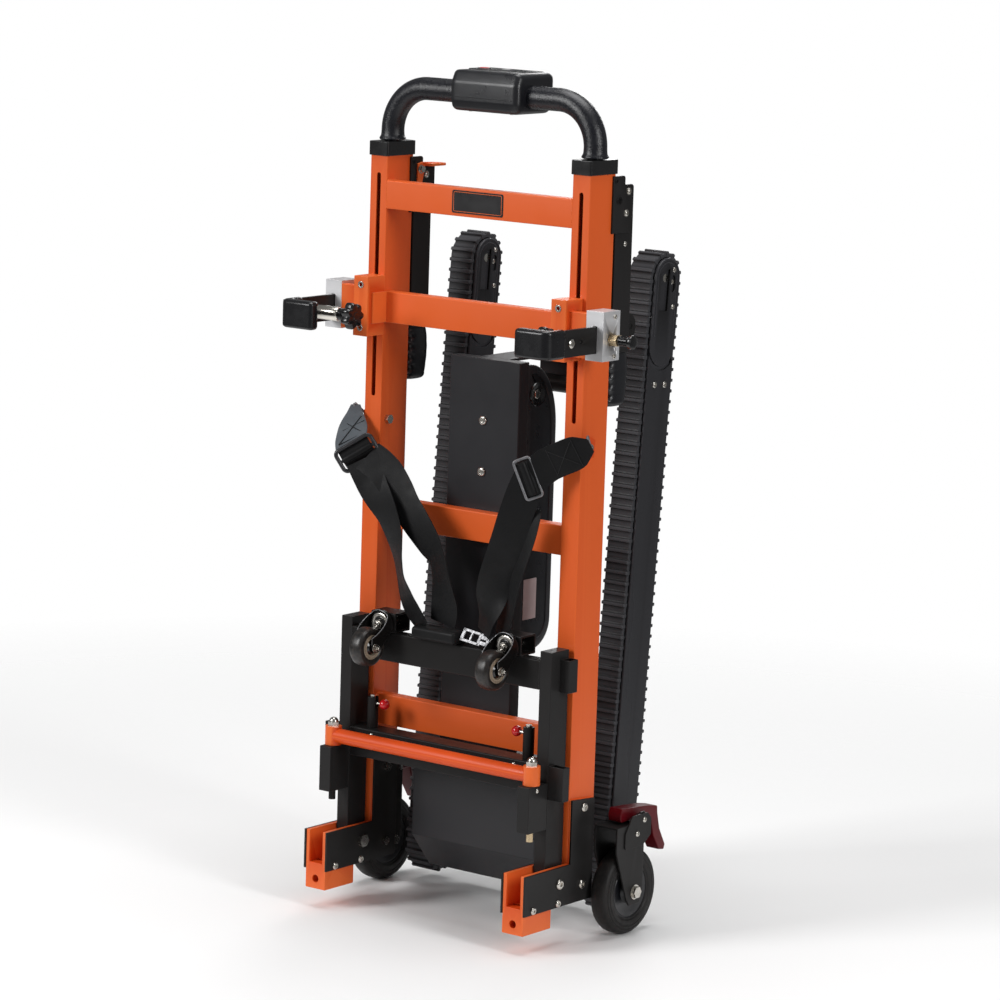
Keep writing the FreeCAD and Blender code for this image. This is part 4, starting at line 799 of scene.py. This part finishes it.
for side, sign, reach in (("left", -1, 66), ("right", 1, 24)):
    body = side + "_knob"
    knob_x = ARM_X - 3 - reach
    head, cap = knob(knob_x)
    make(side + "_knob_head", flipped(head, sign), PLASTIC, body, 30, [side + "_star_knob"])
    make(side + "_knob_cap", flipped(cap, sign), PLASTIC, body)
    base = (knob_x, -88, ARM_Z)
    collar = [(0.2, 0), (0.2, 8.6), (0.9, 9.2), (6.6, 9.2), (7.4, 8.4), (7.4, 0)]
    make(side + "_knob_collar", flipped(lathe(base, collar, 0, 48), sign), PLASTIC, body)
    sleeve = [(7.2, 0), (7.2, 7.6), (8.2, 9.4), (9.2, 10), (reach - 7.5, 10), (reach - 6.5, 9.4),
              (reach - 6.2, 6.5), (reach - 0.3, 6.5), (reach - 0.3, 0)]
    make(side + "_knob_sleeve", flipped(lathe(base, sleeve, 0, 56), sign), SLEEVE, body)
    stud = [(-3.8, 0), (-3.8, 3.4), (3.4, 3.4), (3.4, 6.2), (5, 6.2), (6.4, 4.6), (6.9, 2.6), (6.9, 0)]
    make(side + "_knob_stud", flipped(lathe((ARM_X, -88, ARM_Z), stud, 0, 36), sign), STEEL, body)

    # pull knob of the spring plunger
    body = side + "_plunger"
    base = (ARM_X + 3, -11, ARM_Z)
    pin = [(0.8, 0), (0.8, 3.2), (1.6, 3.9), (27, 3.9), (27, 0)]
    make(side + "_plunger_pin", flipped(lathe(base, pin, 0, 32), sign), STEEL, body, 38, [side + "_plunger"])
    barrel = [(26, 0), (26, 6.4), (26.6, 7)]
    for i in range(6):
        barrel += [(28 + i * 2.1, 7), (28.3 + i * 2.1, 6.3), (29.3 + i * 2.1, 6.3), (29.6 + i * 2.1, 7)]
    barrel += [(41.5, 6.6), (42, 7.6), (43, 9.2), (45.5, 9.9), (48.2, 9.2), (49.6, 6.6), (49.95, 3),
               (50, 0)]
    make(side + "_plunger_knob", flipped(lathe(base, barrel, 0, 48), sign), PLASTIC, body)

    # moulded shoe over the bent end of the arm
    plan = [(177, -142), (236.5, -142), (236.5, -100), (225, -100), (225, -124), (177, -124)]
    shape = prism(rounded(plan, [6.5, 14, 5.7, 5.7, 5, 6.5], 8), 2, ARM_Z - 20, ARM_Z + 20)
    shoe = make(side + "_shoe", flipped(shape, sign), RUBBER, side + "_arm", 38, [side + "_arm_pad"])
    bevelled(shoe, 5.4, 6)


ears, ear_bolts = [], []
for sign in (-1, 1):
    outline = [(70, 150), (86, 174), (122, 174), (131, 165), (131, 141), (112, 128), (70, 128)]
    ears.append(flipped(prism(rounded(outline, 4), 0, 239.3, 241.6), sign))
    for y, z in ((114, 165), (98, 147)):
        ear_bolts.append(flipped(dome_screw((241.4, y, z), 0, 1, 4.2), sign))
bevelled(make("bracket_ears", joined(*ears), BLACK), 0.5, 2)
make("bracket_ear_bolts", joined(*ear_bolts), STEEL)


# ---- rear levers ----
def lever_grip():
    """Hand grip of a lever, rounded all over, with four finger grooves in front."""
    rings = []
    steps = 96
    for i in range(steps + 1):
        share = i / steps
        z = 826 - 77 * share
        front = 62.5
        for groove in (810, 795, 780, 765):
            front += 4.6 * max(0, 1 - ((z - groove) / 7.2) ** 2)
        rear = 105 + 4.5 * sin(pi * min(share * 1.15, 1))
        width = 14
        pinch = min(share, 1 - share) * 77
        if pinch < 7:
            ease = 1 - sqrt(max(0, 1 - (1 - pinch / 7) ** 2))
            front += 7 * ease
            rear -= 9 * ease
            width -= 5 * ease
        middle, depth = (front + rear) / 2, (rear - front) / 2
        ring = []
        for k in range(32):
            angle = 2 * pi * k / 32
            c, s = cos(angle), sin(angle)
            x = width * copysign(abs(c) ** 0.6, c)
            ring.append((x, middle + depth * copysign(abs(s) ** 0.6, s), z))
        rings.append(ring)
    verts, faces = stitched(rings)
    return [(UPRIGHT_X + v[0], v[1], v[2]) for v in verts], faces


def bracket_plate(x, rear):
    """Stepped plate with rounded corners, 2.8 thick, between x and the upright."""
    outline = [(50, 991), (rear - 5, 991), (rear, 997), (rear, 1057.5), (77, 1057.5), (77, 1070), (50, 1070)]
    return prism(rounded(outline, [0, 3, 3, 5, 2, 4, 0]), 0, *x)


plates, pins, washers = [], [], []
for sign in (-1, 1):
    for (near_x, far_x), out, rear in (((193.1, 196), 1, 97), ((160, 162.9), -1, 104)):
        plates.append(flipped(bracket_plate((near_x, far_x), rear), sign))
        face = far_x if out > 0 else near_x
        below_lever = 1043.5 if sign < 0 and out < 0 else 1048
        for y, z in ((85, below_lever), (80.6, 1018)):
            washer = [(0, 0), (0, 5.4), (out * 0.9, 5.2), (out * 0.9, 0)]
            washers.append(flipped(lathe((face, y, z), washer, 0, 32), sign))
            pins.append(flipped(dome_screw((face + out * 0.7, y, z), 0, out, 4), sign))
        for y, z, size in ((64, 1036, 6.2), (56, 1063, 3.4)):
            rivet = [(0, 0), (0, size), (out * 1.4, size * 0.94), (out * 1.4, size * 0.6),
                    (out * 0.5, size * 0.55), (out * 0.5, 0)]
            plates.append(flipped(lathe((face, y, z), rivet, 0, 32), sign))
        if sign < 0 and out < 0:
            washer = [(0, 0), (0, 6.4), (-0.9, 6.4), (-0.9, 0)]
            pins.append(flipped(lathe((face - 3.6, 68, 1052), washer, 0, 32), sign))
            nut = prism(hexagon((68, 1052), 9, 10), 0, face - 8.2, face - 4.5)
            pins.append(flipped(nut, sign))
bevelled(make("bracket_plates", joined(*plates), BLACK, "frame", 38, ["lever_brackets"]), 0.5, 2)
make("bracket_bolts", joined(*pins, *washers), STEEL)

for side, sign in SIDES:
    body = side + "_lever"
    outline = [(63, 824), (103, 824), *arc((83, 1013), 20, 0, 180, 18)]
    arms = [prism(outline, 0, UPRIGHT_X + a, UPRIGHT_X + a + 2.6) for a in (-14, 11.4)]
    spine = slab((UPRIGHT_X - 12, UPRIGHT_X + 12), (100.4, 103), (826, 985))
    arm = make(side + "_lever_arm", flipped(joined(*arms, spine), sign), BLACK, body, 38,
               [side + "_rear_lever"])
    bevelled(arm, 0.8, 2)
    make(side + "_lever_handle", flipped(lever_grip(), sign), SATIN, body, 60)
    screw = dome_screw((UPRIGHT_X + 14, 86, 975), 0, 1, 3.6)
    lug = [(96, 838), (116, 838), (126, 848), (126, 866), (116, 876), (96, 876)]
    lug = prism(rounded(lug, 6), 0, UPRIGHT_X + 4, UPRIGHT_X + 8)
    eye = lathe((UPRIGHT_X + 6, 114, 858), [(-3, 3.2), (-3, 5.6), (3, 5.6), (3, 3.2)], 0, 32)
    bevelled(make(side + "_lever_lug", flipped(joined(lug, eye), sign), BLACK, body), 0.5, 2)
    make(side + "_lever_screw", flipped(screw, sign), STEEL, body)


# ---- straps ----
# Across directions are given on a sheet that stands square to the three-quarter view.
SHEET_RIGHT = Vector((0.79, 0.61, 0))
SHEET_UP = Vector((0, 0, 1))
SHEET_OUT = Vector((0.61, -0.79, 0))


def on_sheet(roll):
    """Direction on that sheet, turned up from its right by an angle."""
    return SHEET_RIGHT * cos(roll) + SHEET_UP * sin(roll)


def ribbon(stations, thick):
    """Webbing through (x, y, z, roll, turn and, if not 48, width) stations, with its UVs."""
    stations = [key if len(key) == 6 else (*key, 48) for key in stations]
    rings, uvs = [], []
    travelled = 0
    previous = None
    shape = [(k / 12 - 0.5, 1 - 0.45 * abs(k / 6 - 1) ** 8) for k in range(13)]
    for x, y, z, roll, turn, width in smoothed(stations, 10):
        centre = Vector((x, y, z))
        roll, turn = radians(roll), radians(turn)
        across = (on_sheet(roll) * cos(turn) + SHEET_OUT * sin(turn)).normalized()
        travelled += (centre - previous).length if previous else 0
        forward = (centre - previous).normalized() if previous else None
        previous = centre
        rings.append([centre, across, forward, width])
        uvs.append(travelled / 1000)
    rings[0][2] = rings[1][2]
    loops = []
    for centre, across, forward, width in rings:
        across = (across - forward * across.dot(forward) * 0.85).normalized()
        normal = across.cross(forward).normalized()
        top = [centre + across * (u * width) + normal * (thick / 2 * e) for u, e in shape]
        under = [centre + across * (u * width) - normal * (thick / 2 * e) for u, e in reversed(shape)]
        loops.append([tuple(p) for p in top + under])
    verts, faces = stitched(loops)
    return verts, faces, uvs, len(loops[0])


def strap_piece(name, stations, look, thick=1.9, replaces=()):
    """Webbing whose UVs run across and along it, in metres."""
    verts, faces, along, size = ribbon(stations, thick)
    piece = make(name, (verts, faces), look, "frame", 60, replaces)
    mesh = piece.data
    layer = mesh.uv_layers.new(name="UVMap")
    half = size // 2
    places = []
    for i in range(len(verts)):
        k = i % size
        u = k if k < half else size - 1 - k
        places.append((u / (half - 1) * 0.05, along[i // size]))
    lookup = {tuple(round(c, 5) for c in at(*v)): p for v, p in zip(verts, places)}
    for loop in mesh.loops:
        spot = mesh.vertices[loop.vertex_index].co
        layer.data[loop.index].uv = lookup.get(tuple(round(c, 5) for c in spot), (0, 0))
    return piece


strap_piece("left_strap_end", [
    (-206, -4, 715, 12, 0, 14), (-203, -9, 706, 16, 0, 22), (-199, -16, 696, 22, 0, 34),
    (-195, -23, 684, 28, 0, 44), (-190, -32, 672, 32, 0, 48), (-184, -38, 662, 32, 0, 48)],
    SEWN, thick=3.4, replaces=["left_strap"])
strap_piece("left_strap_front", [
    (-163, -39, 645, 32, 0), (-152, -41, 630, 31, 8), (-138, -43, 609, 29, 24), (-120, -45, 588, 24, 40),
    (-108, -46, 572, 20, 50), (-95, -47, 546, 12, 60), (-86, -48, 514, 8, 74), (-80, -48, 488, 10, 76),
    (-70, -48, 464, 24, 66), (-60, -46, 445, 30, 60), (-46, -44, 428, 30, 62), (-38, -44, 420, 28, 66)],
    WEBBING)
strap_piece("left_strap_rear", [
    (-158, -33, 650, 32, 0), (-140, -33, 642, 30, 0), (-120, -34, 629, 30, 4), (-101, -35, 609, 30, 14),
    (-84, -36, 588, 30, 26), (-60, -38, 564, 29, 34), (-38, -39, 541, 26, 44), (-22, -40, 521, 14, 60),
    (-14, -41, 497, 5, 60), (-9, -41, 475, -3, 50), (-7, -39, 453, -5, 40), (-10, -37, 430, -4, 44)],
    WEBBING)
strap_piece("right_strap_end", [
    (213, -6, 706, -66, 0, 20), (207, -9, 702, -66, 0, 31), (199, -13, 697, -64, 0, 44),
    (190, -17, 692, -62, 0, 48), (177, -24, 685, -61, 0, 48), (160, -31, 675, -62, 0, 48),
    (143, -40, 659, -66, 0, 48)], WEBBING, thick=3.4, replaces=["right_strap"])
strap_piece("right_strap_fall", [
    (141, -41, 661, -66, 0), (136, -45, 646, -48, 0), (130, -47, 630, -34, 0), (120, -49, 600, -22, 0),
    (111, -49, 572, -14, 4), (101, -48, 545, -8, 6), (89, -46, 514, 0, 8), (82, -45, 490, 6, 20),
    (77, -44, 471, 8, 40), (71, -43, 448, 4, 64), (66, -42, 428, 0, 70)], WEBBING)
strap_piece("right_strap_tail", [
    (126, -35, 612, -14, 14), (126, -35, 590, -4, 36), (120, -35, 556, 6, 50), (111, -36, 520, 12, 58),
    (106, -37, 490, 12, 64), (101, -38, 462, 8, 66), (96, -38, 440, 4, 70), (90, -38, 426, 0, 72)], WEBBING)


def sewn_lines(low, high, roll, lines, bar):
    """Threads over a strap between two places; each line is (end, step aside, end, step aside)."""
    ends = [Vector(low), Vector(high)]
    aside = on_sheet(radians(roll))
    threads = []
    for i, first, j, last in lines:
        start = ends[i] + aside * first + SHEET_OUT * 2
        end = ends[j] + aside * last + SHEET_OUT * 2
        threads.append(tube([start + (end - start) * t / 8 for t in range(9)], bar, 6))
    return threads


def buckle(centre, roll, half_long, half_short, corner, bar, middle_bar):
    """Frame buckle square to the view, with the webbing's turn round its bar."""
    long_way, short_way = on_sheet(radians(roll)), on_sheet(radians(roll + 90))
    centre = Vector(centre)
    u = long_way.normalized()
    v = (short_way - u * short_way.dot(u)).normalized()
    outline = rounded(rectangle((-half_long, half_long), (-half_short, half_short)), corner, 6)
    parts = [tube([centre + u * a + v * b for a, b in outline], bar, 10, True)]
    if middle_bar:
        parts.append(tube([centre + long_way * a for a in (-half_long, 0, half_long)], bar * 0.8, 10))
    rolled = []
    for a in (-23.8, -23, -20, -10, 0, 10, 20, 23, 23.8):
        swell = 5.6 if abs(a) < 22 else (4.9 if abs(a) < 23.5 else 3.6)
        rolled.append((centre + long_way * a + SHEET_OUT, swell))
    wrap = tube([p for p, _ in rolled], [r for _, r in rolled], 24)
    flaps = []
    for side in (-1, 1):
        tip = centre + short_way * (side * (half_short - bar)) - SHEET_OUT
        hump = centre + SHEET_OUT * 4.2
        half = long_way * 23.6
        corners = [hump - half, hump + half, tip + half, tip - half]
        lower = [c - SHEET_OUT * 1.8 for c in corners]
        flaps.append(stitched([[tuple(c) for c in corners], [tuple(c) for c in lower]]))
    return joined(*parts), joined(wrap, *flaps)


stitches = sewn_lines((-199, -16, 696), (-189, -33, 671), 28, [(0, -12, 1, 20), (0, 12, 1, -20)], 0.55)
stitches += sewn_lines((-196, -20, 688), (-189, -33, 671), 28, [(0, -17, 0, 17), (1, -20, 1, 20)], 0.55)
stitches += sewn_lines((194, -16, 694), (166, -29, 679), -62, [(0, -17, 1, 17), (0, 17, 1, -17)], 0.5)
stitches += sewn_lines((196, -15, 695), (165, -29, 678), -62, [(0, -20, 0, 20), (1, -20, 1, 20)], 0.5)
make("strap_stitches", joined(*stitches), THREAD)
hard, soft = buckle((-172, -39, 653), 32, 28.5, 16.5, 7, 3, True)
make("left_strap_buckle", hard, SATIN)
make("left_strap_wrap", soft, WEBBING)
hard, soft = buckle((137, -45, 655), -68, 28.5, 11.8, 4, 2, False)
make("right_strap_buckle", hard, RING)
make("right_strap_wrap", soft, WEBBING)

rings = []
for sign in (-1, 1):
    corners = [(sign * 198.5, 14, 699), (sign * 207, -6, 719), (sign * 207, -8, 688)]
    middle = sum((Vector(c) for c in corners), Vector()) / 3
    path = []
    for i in range(3):
        a, b = Vector(corners[i]), Vector(corners[(i + 1) % 3])
        path += [a + (b - a) * t for t in (0.08, 0.3, 0.5, 0.7, 0.92)]
    rings.append(tube(path, 1.8, 10, True))
make("anchor_rings", joined(*rings), RING)

# folded web pad and buckle tongue on the caster crossbar
plan = rounded(rectangle((-52, 26), (-58, -26)), 5)
pad = make("web_pad", prism(plan, 2, 405.6, 424), WEBBING)
bevelled(pad, 6, 5)
tilt = Vector((0.12, 0.45, 0.88)).normalized()
along = Vector((1, 0, -0.12)).normalized()
plate_mid = Vector((52, -43, 419))


def tongue_bar(low_along, high_along, low_tilt, high_tilt):
    """Flat bar in the tongue's own plane."""
    out = along.cross(tilt)
    outline = rounded(rectangle((low_along, high_along), (low_tilt, high_tilt)), 0.8, 3)
    ring = [plate_mid + along * a + tilt * b for a, b in outline]
    return stitched([[tuple(p + out) for p in ring], [tuple(p - out) for p in ring]])


bars = [tongue_bar(-23, 12, 5.6, 9.2), tongue_bar(-23, 12, -9.2, -5.6), tongue_bar(-23, -18, -9.2, 9.2),
        tongue_bar(-8, -5, -6.2, 6.2), tongue_bar(6, 10, -9.2, 9.2), tongue_bar(10, 23, 1.2, 6.8),
        tongue_bar(10, 23, -6.8, -1.6), tongue_bar(20, 24, -6.8, 6.8)]
bevelled(make("buckle_tongue", joined(*bars), TONGUE), 0.35, 2)


# ---- stage ----
def area_light(name, place, aim, size, power):
    """Soft white lamp at a place, facing an aim."""
    data = bpy.data.lights.new(name, "AREA")
    data.shape = "RECTANGLE"
    data.size, data.size_y = size
    data.energy = power
    lamp = linked(name, data)
    lamp.location = place
    lamp.rotation_euler = (Vector(aim) - Vector(place)).to_track_quat("-Z", "Y").to_euler()


def stage():
    """Pale floor that fades into a white surround, with soft lamps."""
    disc = bmesh.new()
    bmesh.ops.create_circle(disc, cap_ends=True, segments=96, radius=5)
    mesh = bpy.data.meshes.new("floor")
    disc.to_mesh(mesh)
    disc.free()
    floor = linked("floor", mesh)
    floor.location.z = -0.0005
    pale = bpy.data.materials.new("pale_paper")
    tree, shader = inside(pale)
    fill(shader, Base_Color=(0.93, 0.93, 0.93, 1), Roughness=0.9, Specular_IOR_Level=0)
    reach = node(tree, "VectorMath", operation="LENGTH")
    plug(reach.inputs[0], node(tree, "TexCoord").outputs["Object"])
    blend = node(tree, "MixShader")
    clear = node(tree, "BsdfTransparent").outputs["BSDF"]
    fade = spread(tree, reach.outputs["Value"], 0, 1, 0.8, 2.2)
    for i, value in enumerate((fade, shader.outputs["BSDF"], clear)):
        plug(blend.inputs[i], value)
    plug(tree.nodes["Material Output"].inputs["Surface"], blend.outputs["Shader"])
    mesh.materials.append(pale)
    world = bpy.context.scene.world = bpy.data.worlds.new("studio")
    world.use_nodes = True
    tree = world.node_tree
    seen = spread(tree, node(tree, "LightPath").outputs["Is Camera Ray"], 0.17, 1, 0, 1)
    fill(tree.nodes["Background"], Color=(1, 1, 1, 1), Strength=seen)
    area_light("key", (-1.9, -3.4, 2.3), (0, 0, 0.6), (1.2, 2), 104)
    area_light("side", (3.4, -0.6, 1.9), (0, 0, 0.6), (0.8, 1.8), 50)
    area_light("top", (0, 0.1, 3.2), (0, 0, 0.5), (1.8, 1.8), 52)
    area_light("back", (-1.6, 3.6, 2.2), (0, 0, 0.6), (1.6, 1.6), 40)


def camera():
    """The photograph's viewpoint, with its slight roll."""
    data = bpy.data.cameras.new("camera")
    data.lens = 152.4
    eye = linked("camera", data)
    backward = Vector((0.5998, -0.7833, 0.1637)).normalized()
    level = Vector((-backward.y, backward.x, 0)).normalized()
    upright = backward.cross(level)
    roll = radians(1.8)
    right = level * cos(roll) + upright * sin(roll)
    up = upright * cos(roll) - level * sin(roll)
    turn = Matrix((right, up, backward)).transposed()
    eye.matrix_world = Matrix.Translation((3.5952, -4.6734, 1.5759)) @ turn.to_4x4()
    bpy.context.scene.camera = eye


stage()
camera()
bpy.context.scene.view_settings.view_transform = "Standard"
